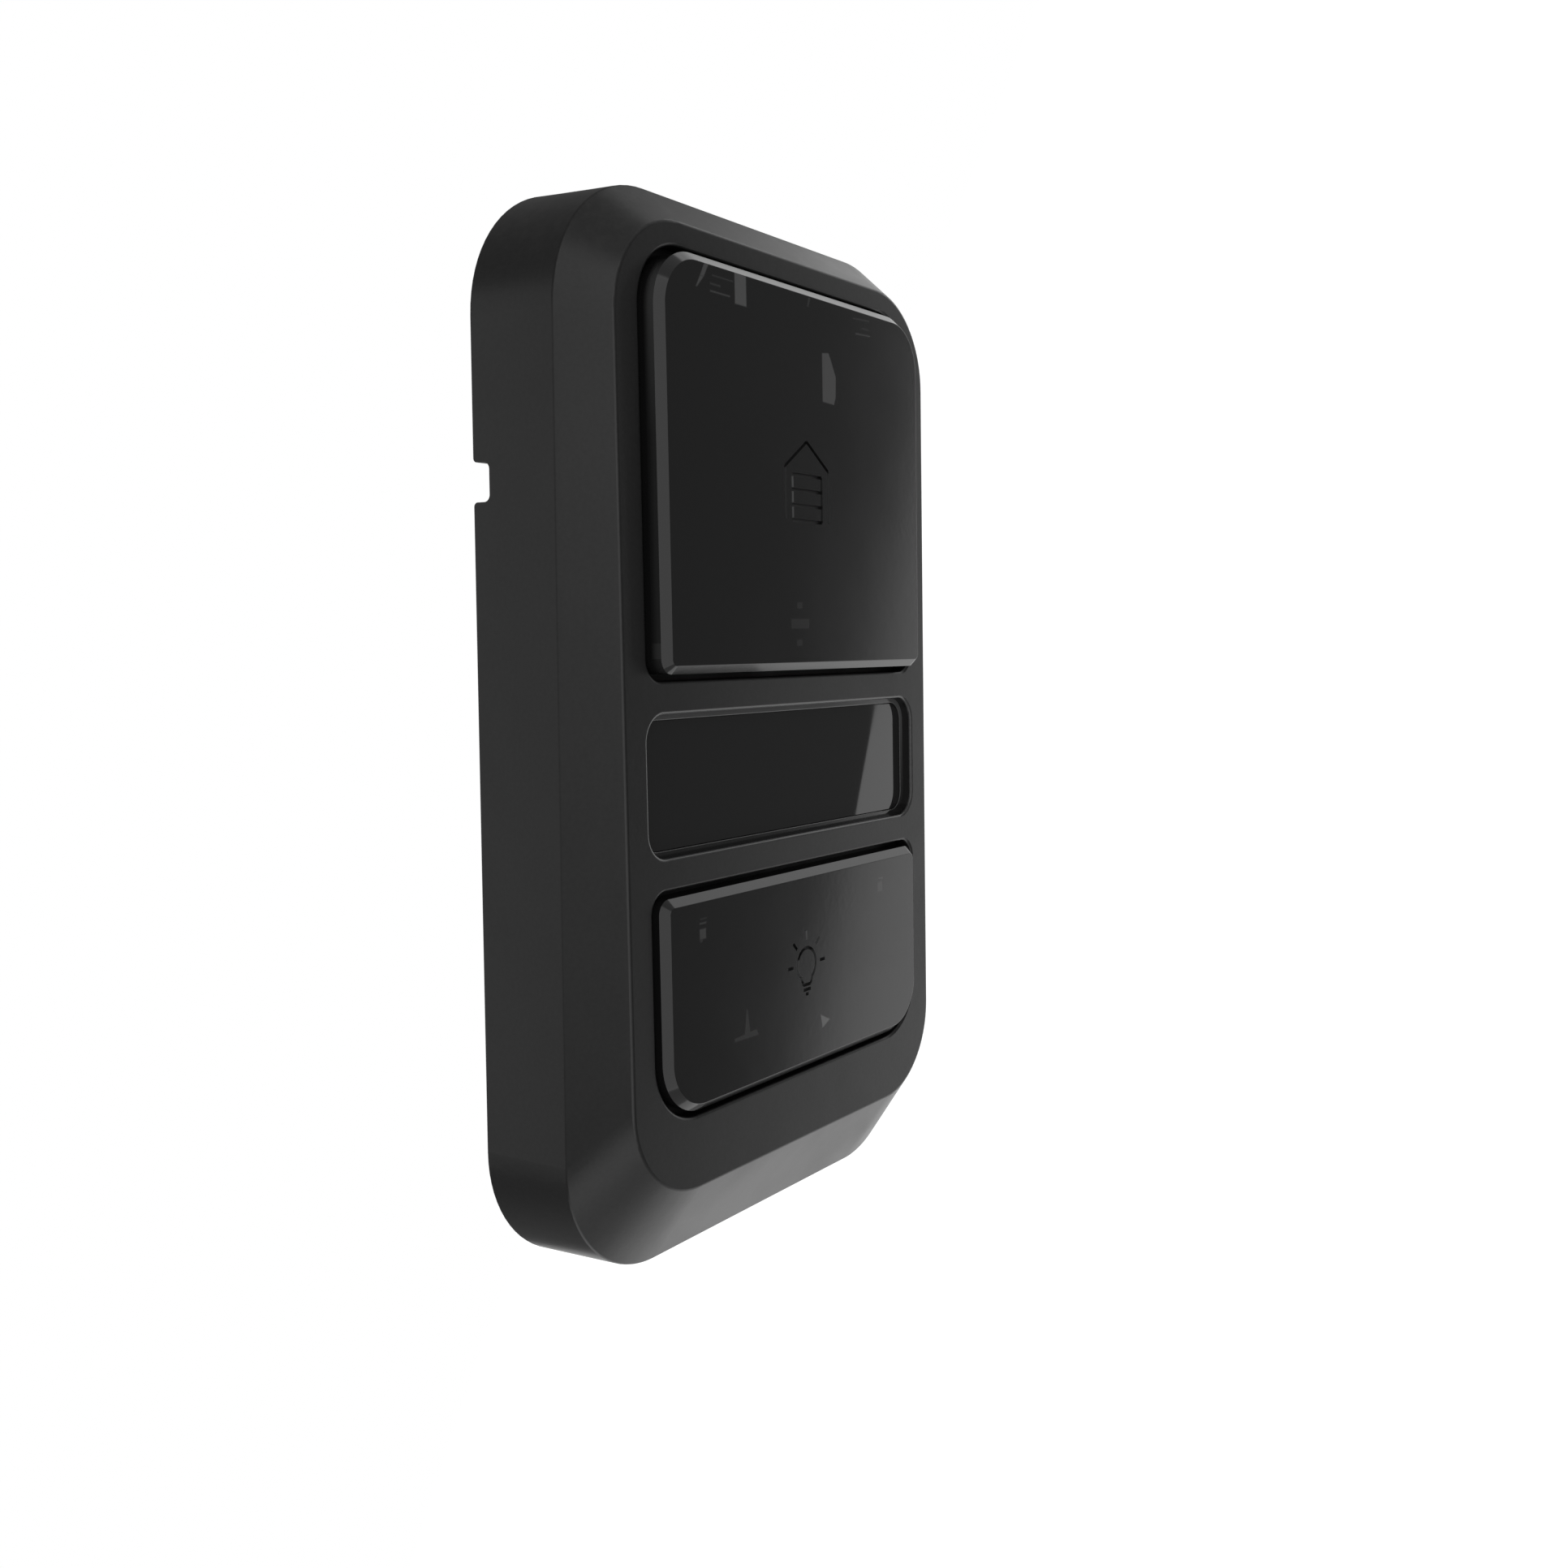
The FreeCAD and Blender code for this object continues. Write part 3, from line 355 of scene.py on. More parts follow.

# %% [markdown]
# ## Plastics and rubber of the panel
# The shell is etched matt, the inner pieces are duller, and the window's
# opening is polished. Diffusers and lamp lenses are pale and milky. What lies
# in the gaps round the buttons is dull black, as painted shade. Each row is one
# finish, from its colour to the dust on it.

# %% Moulded finishes
# Name, colour, roughness clean and touched, grain and relief in mm, wear and dust
PLASTICS = [
    ("housing_plastic", grey(0.015), 0.32, 0.38, 0.45, 0.010, 0.10, 0.05),
    ("inner_plastic", grey(0.022), 0.42, 0.50, 0.60, 0.010, 0.12, 0.04),
    ("polished_wall", grey(0.012), 0.12, 0.16, 0.40, 0.001, 0.00, 0.00),
    # Its paler colour is a painted highlight on the edges of the window's opening.
    ("polished_edge_painted_highlight", grey(0.060), 0.12, 0.16, 0.40, 0.001, 0.00, 0.00),
    ("bezel_plastic", grey(0.012), 0.28, 0.34, 0.40, 0.006, 0.10, 0.03),
    ("terminal_plastic", (0.03, 0.16, 0.07, 1.0), 0.30, 0.42, 0.60, 0.010, 0.15, 0.05),
    ("switch_plastic", grey(0.030), 0.30, 0.40, 0.50, 0.010, 0.10, 0.02),
    ("plunger_plastic", (0.52, 0.50, 0.45, 1.0), 0.30, 0.40, 0.50, 0.010, 0.10, 0.02),
    ("chip_plastic", grey(0.035), 0.50, 0.60, 0.25, 0.010, 0.10, 0.04),
    ("gasket_rubber", grey(0.020), 0.70, 0.80, 0.50, 0.020, 0.00, 0.02),
    ("milky_plastic", (0.78, 0.79, 0.76, 1.0), 0.35, 0.45, 0.80, 0.010, 0.00, 0.03),
    ("led_lens", (0.86, 0.84, 0.72, 1.0), 0.20, 0.30, 0.50, 0.004, 0.00, 0.00),
]

for row in PLASTICS:
    moulded(*row)
# Dull black for the gaps round the buttons: painted shade.
moulded("gap_painted_shade", grey(0.006), 0.50, 0.60, 0.40, 0.004, 0.00, 0.00, specular=0.2)
print("made", len(finishes), "moulded finishes")

# %% [markdown]
# ## The leaning face
# The panel is a little deeper at its bottom than at its top, so its face
# leans. Some finishes depend on how far a point lies above or below that
# face, which is measured along the face's normal. The depth of the face is
# its distance from the wall at half height.

# %% Plane of the face
LEAN_OUT = 2.1 * MM
FACE_DEPTH = 17.85 * MM
PANEL_HEIGHT = cad_box[1][2] - cad_box[0][2]
FACE_LEAN = math.atan2(LEAN_OUT, PANEL_HEIGHT)
FACE_NORMAL = Vector((0.0, -math.cos(FACE_LEAN), math.sin(FACE_LEAN)))
FACE_REACH = FACE_DEPTH * math.cos(FACE_LEAN)
print("the face leans by", round(math.degrees(FACE_LEAN), 2), "degrees")

# %% [markdown]
# ## Shapes on the face
# Faint marks and lit strokes are painted light: flat shapes on the front of a
# cap. Each is a convex outline, worked out from its own corners: a point is
# inside when it lies inward of every side. A point keeps the strength of the
# strongest shape that covers it, and the edges are a little soft, as light in
# plastic is.

# %% Shapes from their corners
SHAPE_EDGE = 0.09 * MM


def shape_mask(tree, place, corners):
    """1 inside a convex outline on the face, 0 outside. Corners are X and Z, clockwise."""
    inside = None
    for (x, z), (next_x, next_z) in zip(corners, corners[1:] + corners[:1]):
        length = math.hypot(next_x - x, next_z - z)
        inward = ((next_z - z) / length, 0.0, (x - next_x) / length)
        start = x * inward[0] + z * inward[2]
        depth = calculate(tree, "SUBTRACT", dot(tree, place, inward), start)
        inside = depth if inside is None else calculate(tree, "MINIMUM", inside, depth)
    return remap(tree, inside, low=-SHAPE_EDGE, high=SHAPE_EDGE)


def strongest_shape(tree, shapes, middle=0.0):
    """Strength of the strongest shape at a point. Shapes are in mm, above a middle."""
    place = object_place(tree)
    seen = 0.0
    for strength, corners in shapes:
        corners = [(x * MM, (z + middle) * MM) for x, z in corners]
        mask = calculate(tree, "MULTIPLY", shape_mask(tree, place, corners), strength)
        seen = calculate(tree, "MAXIMUM", seen, mask)
    return seen


def upright(left, right, low, high):
    """Corners of an upright rectangle, clockwise."""
    return [(left, high), (right, high), (right, low), (left, low)]


print("shape helpers ready")

# %% [markdown]
# ## Painted light in the door cap's flank
# The door cap stands so proud that its left flank is seen, and light on it is
# painted into its colour. The light grows from the gap outwards, ends at the
# foot of the chamfer, and is stronger near the top of the cap than lower down.
# The cap's box gives the place of the flank.

# %% Light in the flank
door_low, door_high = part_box("door_button_cap")
FLANK_INNER, FLANK_OUTER = door_low[0] + 2.9 * MM, door_low[0] + 0.9 * MM
FLANK_GROWTH = 0.7 * MM
CHAMFER_FOOT = 1.40 * MM
CHAMFER_EDGE = 0.02 * MM
DIM_HEIGHT, BRIGHT_HEIGHT = door_high[2] - 21.0 * MM, door_high[2] - 3.0 * MM
DIM_LIGHT, BRIGHT_LIGHT = 0.08, 0.32


def flank_light(tree, patches):
    """Painted light in a cap's left flank, with patches that are in mm."""
    place = object_place(tree)
    axes = split_vector(tree, place)
    above = calculate(tree, "SUBTRACT", dot(tree, place, FACE_NORMAL), FACE_REACH)
    out_of_gap = remap(tree, above, low=0.0, high=FLANK_GROWTH)
    under_chamfer = remap(tree, above, low=CHAMFER_FOOT + CHAMFER_EDGE, high=CHAMFER_FOOT - CHAMFER_EDGE)
    on_left = remap(tree, axes["X"], low=FLANK_INNER, high=FLANK_OUTER)
    on_band = calculate(tree, "MULTIPLY", out_of_gap, under_chamfer)
    on_flank = calculate(tree, "MULTIPLY", on_band, on_left)
    by_height = remap(tree, axes["Z"], DIM_HEIGHT, BRIGHT_HEIGHT, new_low=DIM_LIGHT, new_high=BRIGHT_LIGHT)
    light = calculate(tree, "MAXIMUM", by_height, strongest_shape(tree, patches))
    return calculate(tree, "MULTIPLY", light, on_flank)


print("flank light ready")

# %% [markdown]
# ## Smoked caps
# The two buttons are polished smoked plastic, so the surface mirrors the room
# while parts under it show faintly. Modelling real see-through plastic would
# make the pieces under it part of the finish and cost much noise. Here the
# marks are painted highlights: soft shapes in the colour that stand for the lit
# parts under the plastic, under a polished surface with a fine orange peel.

# %% Recipe for the smoked caps
SMOKE = grey(0.010)
# Colour of the painted highlights and the painted flank light in the caps.
PAINTED_LIGHT_IN_SMOKE = grey(0.16)
WORN_SMOKE = grey(0.05)


def smoked(name, shapes, flank_patches=None):
    """Polished smoked plastic with painted highlights of the parts under its surface, and painted light in its
    flank where patches are given.
    """
    tree, shader = start_finish(name)
    seen = strongest_shape(tree, shapes)
    if flank_patches:
        seen = calculate(tree, "MAXIMUM", seen, flank_light(tree, flank_patches))
    peel = place_group(tree, grain_group, Grain_size=0.7 * MM, Depth=0.5)
    worn = place_group(tree, wear_group, Width=0.25 * MM, Amount=0.06).outputs["Mask"]
    base = blend_colour(tree, seen, SMOKE, PAINTED_LIGHT_IN_SMOKE)
    base = blend_colour(tree, worn, base, WORN_SMOKE)
    film = film_roughness(tree, 22 * MM, clean=0.115, touched=0.145)
    end_finish(tree, shader, base, film, peel.outputs["Height"], 0.004 * MM)


print("recipe for smoked plastic ready")

# %% [markdown]
# ## Painted highlights under the smoked plastic
# The marks are painted highlights of lit parts under the smoked plastic. The
# door cap shows one large mark above and to the right of its sign, a row of
# small ones along its top edge and a few near its bottom edge. The lamp cap
# shows small marks in its upper corners and below its sign. Each mark is a
# strength and its corners in X and Z, clockwise, in mm on the face.

# %% Marks of the two caps
door_painted_highlights = [
    (0.58, [(3.9, 47.5), (5.4, 47.7), (5.9, 47.0), (7.1, 44.9), (7.0, 42.4), (6.6, 41.4), (3.9, 41.5)]),
    (0.65, upright(-14.8, -12.5, 50.5, 54.0)),
    (0.50, [(-20.6, 54.1), (-19.8, 54.1), (-20.8, 52.5), (-21.5, 52.5)]),
    (0.50, [(-21.5, 52.5), (-20.8, 52.5), (-22.1, 51.2), (-22.3, 51.2)]),
    (0.20, upright(-19.2, -15.1, 52.85, 53.0)),
    (0.22, upright(-19.6, -17.6, 51.85, 52.05)),
    (0.45, upright(-19.6, -15.8, 51.05, 51.2)),
    (0.20, [(0.9, 53.8), (1.4, 53.9), (0.9, 52.7), (0.6, 52.7)]),
    (0.18, [(11.5, 53.1), (15.6, 53.35), (15.6, 53.15), (11.5, 52.9)]),
    (0.18, upright(13.7, 15.4, 51.95, 52.15)),
    (0.40, [(12.1, 51.25), (15.8, 51.4), (15.8, 51.25), (12.1, 51.05)]),
    (0.14, upright(-2.7, -1.5, 15.5, 16.3)),
    (0.14, upright(-4.1, 0.0, 13.05, 14.25)),
    (0.12, upright(-2.9, -1.6, 10.9, 11.7)),
]
lamp_painted_highlights = [
    (0.16, upright(-22.5, -21.2, -20.65, -20.5)),
    (0.32, upright(-22.6, -21.3, -21.2, -21.0)),
    (0.38, upright(-22.6, -21.4, -22.95, -21.75)),
    (0.20, [(-22.6, -22.95), (-21.9, -22.95), (-22.2, -23.3), (-22.5, -23.3)]),
    (0.30, upright(18.2, 19.4, -21.2, -21.0)),
    (0.25, upright(18.1, 19.3, -22.9, -21.6)),
    (0.20, [(-13.5, -33.0), (-13.3, -33.0), (-12.8, -36.1), (-14.0, -36.1)]),
    (0.20, [(-16.2, -36.1), (-11.5, -35.8), (-11.0, -36.6), (-16.0, -36.5)]),
    (0.85, [(3.1, -37.0), (5.3, -38.0), (3.5, -38.8)]),
]
# A patch of painted light in the door cap's flank.
flank_patches = [(0.20, upright(-29.4, -27.0, 9.6, 11.4))]

smoked("door_cap_plastic", door_painted_highlights, flank_patches)
smoked("lamp_cap_plastic", lamp_painted_highlights)
print("made smoked plastic with", len(door_painted_highlights) + len(lamp_painted_highlights), "faint marks")

# %% [markdown]
# ## Engraved grooves
# The signs are dull grooves with painted light on their strokes, some paler
# than others: the left side of the little door and the ray over the bulb are
# the palest. Each shape covers a stroke and gives how pale it is, in mm from
# the middle of its sign.

# %% Grooves of the signs
DOOR_SIGN_MIDDLE = 31.5
LAMP_SIGN_MIDDLE = -30.5


def engraved(name, shapes, middle):
    """Dull plastic in the grooves of a sign whose middle lies at a height in mm, with painted light on its
    strokes.
    """
    tree, shader = start_finish(name)
    lit = strongest_shape(tree, shapes, middle)
    grain = place_group(tree, grain_group, Grain_size=0.4 * MM, Depth=0.5)
    # Painted light: lit strokes are paler than the dark grooves.
    base = blend_colour(tree, lit, grey(0.010), grey(0.18))
    film = film_roughness(tree, 9 * MM, clean=0.42, touched=0.5)
    shader.inputs["Specular IOR Level"].default_value = 0.28
    end_finish(tree, shader, base, film, grain.outputs["Height"], 0.004 * MM)


house_lights = [
    (0.09, upright(-3.05, 3.05, -5.35, 0.75)),
    (1.00, upright(-3.60, -3.00, -1.16, 0.29)),
    (1.00, upright(-3.60, -3.00, -3.02, -1.58)),
    (0.90, upright(-3.60, -3.00, -4.89, -3.44)),
    (0.14, upright(3.05, 3.60, -1.16, 0.29)),
    (0.14, upright(3.05, 3.60, -3.02, -1.58)),
    (0.14, upright(3.05, 3.60, -4.89, -3.44)),
    (0.34, upright(-5.20, -4.60, -5.40, 1.20)),
    (0.34, upright(4.60, 5.20, -5.40, 1.20)),
    (0.07, [(-5.20, 1.50), (-0.10, 5.00), (0.00, 4.30), (-4.70, 1.00)]),
]
bulb_lights = [
    (0.65, upright(-2.60, -0.90, -1.60, 1.50)),
    (0.09, upright(-1.00, 1.20, 2.20, 3.10)),
    (0.34, upright(0.90, 2.60, -1.60, 2.30)),
    (1.00, upright(-0.40, 0.40, 3.70, 5.20)),
    (0.12, upright(-4.80, -2.90, 0.30, 1.20)),
    (0.60, upright(2.00, 3.40, 2.70, 4.20)),
    (0.12, upright(2.90, 4.80, 0.30, 1.20)),
    (0.12, upright(-1.20, 1.20, -3.60, -1.60)),
]

engraved("door_sign_plastic", house_lights, DOOR_SIGN_MIDDLE)
engraved("lamp_sign_plastic", bulb_lights, LAMP_SIGN_MIDDLE)
print("made two engraved finishes with", len(house_lights) + len(bulb_lights), "lit strokes")

# %% [markdown]
# ## Display window and panel
# The window is a flat polished sheet that shows a crisp reflection, so its
# film is very thin. The panel under it has a fine grid of cells, which a
# brick texture without offset draws.

# %% Display window and panel
CELL_SIZE = 1.6 * MM

tree, shader = start_finish("display_window")
dusty = place_group(tree, dust_group, Amount=0.05, Speck_size=0.8 * MM).outputs["Mask"]
base = blend_colour(tree, dusty, grey(0.013), grey(0.2))
end_finish(tree, shader, base, film_roughness(tree, 18 * MM, clean=0.015, touched=0.045))

tree, shader = start_finish("panel_glass")
cells = add_node(
    tree, "ShaderNodeTexBrick", {"offset": 0.0},
    Vector=object_place(tree), Scale=1 / CELL_SIZE,
    Color1=(0.045, 0.055, 0.05, 1.0), Color2=(0.05, 0.06, 0.055, 1.0), Mortar=grey(0.02),
    Mortar_Size=0.04, Brick_Width=1.0, Row_Height=1.0,
)
end_finish(tree, shader, cells.outputs["Color"], film_roughness(tree, 20 * MM, clean=0.08, touched=0.16))
print("made display finishes")

# %% [markdown]
# ## Metals
# Wire, screws and clamps are metal. Drawn and turned metal has fine lines,
# so stretched noise varies both colour and relief. A scale under 1 makes the
# lines long in that direction, and one over 1 packs them closer.

# %% Metal finishes


def metal(name, colour, clean, touched, line_size, line_scale):
    """Bare metal with fine lines and a tarnish in its hollows. The line size is in mm."""
    tree, shader = start_finish(name)
    long_lines = add_node(tree, "ShaderNodeMapping", None, Vector=object_place(tree), Scale=line_scale)
    lines = noise(tree, long_lines.outputs[0], 1 / (line_size * MM), detail=3.0)
    hollows = remap(tree, lines, low=0.3, high=0.7)
    base = blend_colour(tree, hollows, tone(colour, 0.6), colour)
    film = film_roughness(tree, 3 * MM, clean, touched)
    shader.inputs["Metallic"].default_value = 1.0
    end_finish(tree, shader, base, film, lines, 0.006 * MM)


# Name, colour, roughness clean and touched, line size in mm, scale in X, Y and Z
METALS = [
    ("spring_steel", (0.60, 0.60, 0.58, 1.0), 0.22, 0.34, 0.25, (1.0, 0.2, 1.0)),
    ("screw_steel", (0.52, 0.52, 0.51, 1.0), 0.28, 0.42, 0.30, (1.0, 4.0, 1.0)),
    ("terminal_brass", (0.70, 0.52, 0.24, 1.0), 0.25, 0.40, 0.30, (0.3, 1.0, 1.0)),
    ("module_metal", (0.62, 0.63, 0.64, 1.0), 0.30, 0.45, 0.30, (0.3, 1.0, 1.0)),
]

for row in METALS:
    metal(*row)
print("made", len(METALS), "metal finishes")

# %% [markdown]
# ## Circuit board
# A board is green lacquer over copper tracks. Tracks run in bundles: each
# square patch of the board has parallel lines along X, along Z or none. The
# texture is turned a quarter so that its flat pattern lies on the board, and
# small round cells give the drilled vias.

# %% Board laminate
TRACK_PITCH = 0.9 * MM
TRACK_PATCH = 6.0 * MM
VIA_PITCH = 4.0 * MM
LACQUER = (0.008, 0.075, 0.03, 1.0)
LACQUER_ON_COPPER = (0.02, 0.14, 0.06, 1.0)
SOLDER = (0.45, 0.42, 0.34, 1.0)
QUARTER_TURN = (math.radians(90), 0.0, 0.0)

tree, shader = start_finish("board_laminate")
turned = add_node(tree, "ShaderNodeMapping", None, Vector=object_place(tree), Rotation=QUARTER_TURN)
on_board = split_vector(tree, turned.outputs[0])
patches = add_node(
    tree, "ShaderNodeTexVoronoi", {"voronoi_dimensions": "2D", "distance": "CHEBYCHEV"},
    Vector=turned.outputs[0], Scale=1 / TRACK_PATCH,
)
choice = split_vector(tree, patches.outputs["Color"])
rows = calculate(tree, "GREATER_THAN", choice["X"], 0.5)
columns = calculate(tree, "SUBTRACT", 1.0, rows)
off_row = calculate(tree, "PINGPONG", on_board["Y"], TRACK_PITCH / 2)
off_column = calculate(tree, "PINGPONG", on_board["X"], TRACK_PITCH / 2)
off_line = calculate(tree, "MULTIPLY_ADD", off_row, rows, calculate(tree, "MULTIPLY", off_column, columns))
filled = calculate(tree, "GREATER_THAN", choice["Y"], 0.4)
tracks = calculate(tree, "MULTIPLY", remap(tree, off_line, low=0.17 * MM, high=0.12 * MM), filled)
vias = add_node(tree, "ShaderNodeTexVoronoi", None, Vector=turned.outputs[0], Scale=1 / VIA_PITCH)
via_mask = remap(tree, vias.outputs["Distance"], low=0.12, high=0.09)
base = blend_colour(tree, tracks, LACQUER, LACQUER_ON_COPPER)
base = blend_colour(tree, via_mask, base, SOLDER)
copper_height = calculate(tree, "ADD", tracks, via_mask)
film = film_roughness(tree, 10 * MM, clean=0.28, touched=0.4)
end_finish(tree, shader, base, film, copper_height, 0.02 * MM)
print("made the board's lacquer and tracks")

# %% [markdown]
# ## Dress the nodes
# Each node names its material slot in the record, and most slots have the
# name of their finish. Two small tables give the others. The caps have a
# smoked plastic each, and the carriers under them show in the gaps round the
# buttons, so they are dull black as painted shade.

# %% Assign finishes
FINISH_OF_SLOT = {
    "smoked_plastic": "door_cap_plastic",
    "display_glass": "display_window",
    "diffuser": "milky_plastic",
}
FINISH_OF_NODE = {
    "lamp_button_cap": "lamp_cap_plastic",
    "door_button_base": "gap_painted_shade",
    "lamp_button_base": "gap_painted_shade",
}

for name, piece in nodes.items():
    slot_finish = FINISH_OF_SLOT.get(slot_of[name], slot_of[name])
    piece.data.materials.clear()
    piece.data.materials.append(finishes[FINISH_OF_NODE.get(name, slot_finish)])
print("dressed", len(nodes), "nodes")

# %% [markdown]
# ## Faces with a finish of their own
# Some faces of a piece differ from the rest, such as the grooves in a cap.
# They are told apart by where their middle lies, how deep it is below the
# panel's leaning face, and how squarely they face the same way as it.

# %% Tell faces apart


def add_finish(piece, name):
    """Adds a finish to a piece and gives the number of its slot."""
    piece.data.materials.append(finishes[name])
    return len(piece.data.materials) - 1


def finish_faces(piece, choose_slot):
    """Gives faces the slot that is chosen from middle, depth and facing. Counts them."""
    counted = 0
    for polygon in piece.data.polygons:
        middle = piece.matrix_world @ polygon.center
        normal = (piece.matrix_world.to_3x3() @ polygon.normal).normalized()
        slot = choose_slot(middle, FACE_REACH - middle.dot(FACE_NORMAL), normal.dot(FACE_NORMAL))
        if slot is not None:
            polygon.material_index = slot
            counted += 1
    return counted


print("face helpers ready")

# %% [markdown]
# ## Grooves of the signs
# A groove's floor and walls lie below the front of the cap, which stands
# proud of the panel's face. So every face near the middle of the sign that
# is a little deeper than the cap's front belongs to the sign.

# %% Finish the signs
SIGN_REACH = 6.0 * MM
GROOVE_START, GROOVE_END = 0.02 * MM, 0.5 * MM
DOOR_CAP_PROUD = 2.35 * MM
LAMP_CAP_PROUD = 1.18 * MM


def finish_sign(cap_name, proud, sign_middle, finish):
    """Gives the grooves of a cap their own finish."""
    cap = nodes[cap_name]
    slot = add_finish(cap, finish)

    def in_groove(middle, depth, facing):
        near = abs(middle.x) < SIGN_REACH and abs(middle.z - sign_middle * MM) < SIGN_REACH
        return slot if near and GROOVE_START < depth + proud < GROOVE_END else None

    return finish_faces(cap, in_groove)


door_faces = finish_sign("door_button_cap", DOOR_CAP_PROUD, DOOR_SIGN_MIDDLE, "door_sign_plastic")
lamp_faces = finish_sign("lamp_button_cap", LAMP_CAP_PROUD, LAMP_SIGN_MIDDLE, "lamp_sign_plastic")
print("sign faces", door_faces, "on the door cap and", lamp_faces, "on the lamp cap")

# %% [markdown]
# ## Opening of the window
# The window's opening is polished: its walls are dark, its edges draw thin
# bright lines, partly from their gloss and partly from a painted highlight in
# their colour, and its ledge has painted light, pale at the top and dark at the
# bottom. Walls look sideways, the ledge looks straight out, and edges are what
# is between. All of them lie within a rim round the display lens.

# %% Finish the window's opening
WINDOW_RIM = 0.92 * MM
LEDGE_FADE = 1.7 * MM
FACE_SKIN = 0.02 * MM
OPENING_START, OPENING_END = -0.01 * MM, 1.99 * MM
SIDEWAYS, STRAIGHT_OUT = 0.05, 0.995

lens_low, lens_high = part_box("display_lens")
window_reach = lens_high[0] + WINDOW_RIM
window_bottom, window_top = lens_low[2] - WINDOW_RIM, lens_high[2] + WINDOW_RIM

shell = nodes["front_housing"]
# Painted light on the ledge: paler towards the top.
tree, shader = start_finish("ledge_painted_light")
height = split_vector(tree, object_place(tree))["Z"]
rise = remap(tree, height, low=window_bottom + LEDGE_FADE, high=window_top - LEDGE_FADE)
base = blend_colour(tree, rise, grey(0.012), grey(0.09))
end_finish(tree, shader, base, film_roughness(tree, 9 * MM, clean=0.12, touched=0.16))
wall_slot, edge_slot, ledge_slot = (
    add_finish(shell, name) for name in ("polished_wall", "polished_edge_painted_highlight", "ledge_painted_light")
)


def window_slot(middle, depth, facing):
    """Slot of a face in the window's opening, or None outside it."""
    near = abs(middle.x) < window_reach and window_bottom < middle.z < window_top
    on_face = depth < FACE_SKIN and facing > STRAIGHT_OUT
    if not near or on_face or not OPENING_START < depth < OPENING_END:
        return None
    if facing < SIDEWAYS:
        return wall_slot
    return edge_slot if facing < STRAIGHT_OUT else ledge_slot


print("window opening faces", finish_faces(shell, window_slot))

# %% [markdown]
# ## Gaps round the buttons
# Little light gets into the narrow gap round a button, so the walls of its
# opening are painted shade: dull black, like the carrier at the gap's bottom.
# The gap lies just outside the box of the cap.

# %% Darken the gaps
GAP_MARGIN = 1.5 * MM
GAP_START, GAP_END = 0.12 * MM, 2.2 * MM
GAP_FACING = 0.3

gap_slot = add_finish(shell, "gap_painted_shade")


def darken_gap(cap_name):
    """Dull black for the walls of the opening round a cap, as painted shade."""
    low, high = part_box(cap_name)

    def in_gap(middle, depth, facing):
        beside = low[0] - GAP_MARGIN < middle.x < high[0] + GAP_MARGIN
        level = low[2] - GAP_MARGIN < middle.z < high[2] + GAP_MARGIN
        on_wall = GAP_START < depth < GAP_END and facing < GAP_FACING
        return gap_slot if beside and level and on_wall else None

    return finish_faces(shell, in_gap)


print("gap faces", darken_gap("door_button_cap"), "and", darken_gap("lamp_button_cap"))

# %% [markdown]
# ## Springs of the buttons
# A return spring stands between the chassis and its button. A spring whose
# button has a press joint in the frame gets a mesh of its own.

# %% Give the springs their own meshes
springs_of_joint = {"door_button_press": "door_return_springs", "lamp_button_press": "lamp_return_springs"}

for joint in frame["joints"]:
    if joint["name"] in springs_of_joint:
        springs = springs_of_joint[joint["name"]]
        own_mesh(nodes[springs])

# %% [markdown]
# ## White stage
# Floor and backdrop show white to the camera and in reflections through the
# light path, so no extra light has to fall on the object. For all other
# light they are plain pale paper.

# %% Stage helpers
STAGE_COLOUR = grey(0.8)
STAGE_GLOW = 1.14


def white_stage(name):
    """Pale surface that shows plain white to the camera, to gloss and through glass."""
    material = bpy.data.materials.new(name)
    material.use_nodes = True
    tree = material.node_tree
    tree.nodes.clear()
    path = add_node(tree, "ShaderNodeLightPath")
    seen = calculate(tree, "MAXIMUM", path.outputs["Is Camera Ray"], path.outputs["Is Glossy Ray"])
    seen = calculate(tree, "MAXIMUM", seen, path.outputs["Is Transmission Ray"])
    paper = add_node(tree, "ShaderNodeBsdfDiffuse", None, Color=STAGE_COLOUR)
    white = add_node(tree, "ShaderNodeEmission", None, Color=grey(1.0), Strength=STAGE_GLOW)
    both = add_node(tree, "ShaderNodeMixShader", None, i0=seen, i1=paper.outputs[0], i2=white.outputs[0])
    add_node(tree, "ShaderNodeOutputMaterial", None, Surface=both.outputs[0])
    return material


def add_stage(name, vertices, faces):
    """White mesh object that is stage, not part of the panel."""
    mesh = bpy.data.meshes.new(name)
    mesh.from_pydata(vertices, [], faces)
    mesh.materials.append(white_stage(name))
    made = bpy.data.objects.new(name, mesh)
    bpy.context.scene.collection.objects.link(made)


print("stage helpers ready")

# %% [markdown]
# ## Floor
# A wall control hangs at chest height, so the floor lies well below it.

# %% Floor
FLOOR_DROP = 1.25
FLOOR_LEFT, FLOOR_RIGHT = -1.2, 2.6
FLOOR_FRONT, FLOOR_BACK = -0.33, 0.6

floor_corners = [
    (FLOOR_LEFT, FLOOR_FRONT, -FLOOR_DROP),
    (FLOOR_RIGHT, FLOOR_FRONT, -FLOOR_DROP),
    (FLOOR_RIGHT, FLOOR_BACK, -FLOOR_DROP),
    (FLOOR_LEFT, FLOOR_BACK, -FLOOR_DROP),
]
add_stage("pale_floor", floor_corners, [(0, 1, 2, 3)])
print("floor", FLOOR_DROP, "m below the middle of the panel")

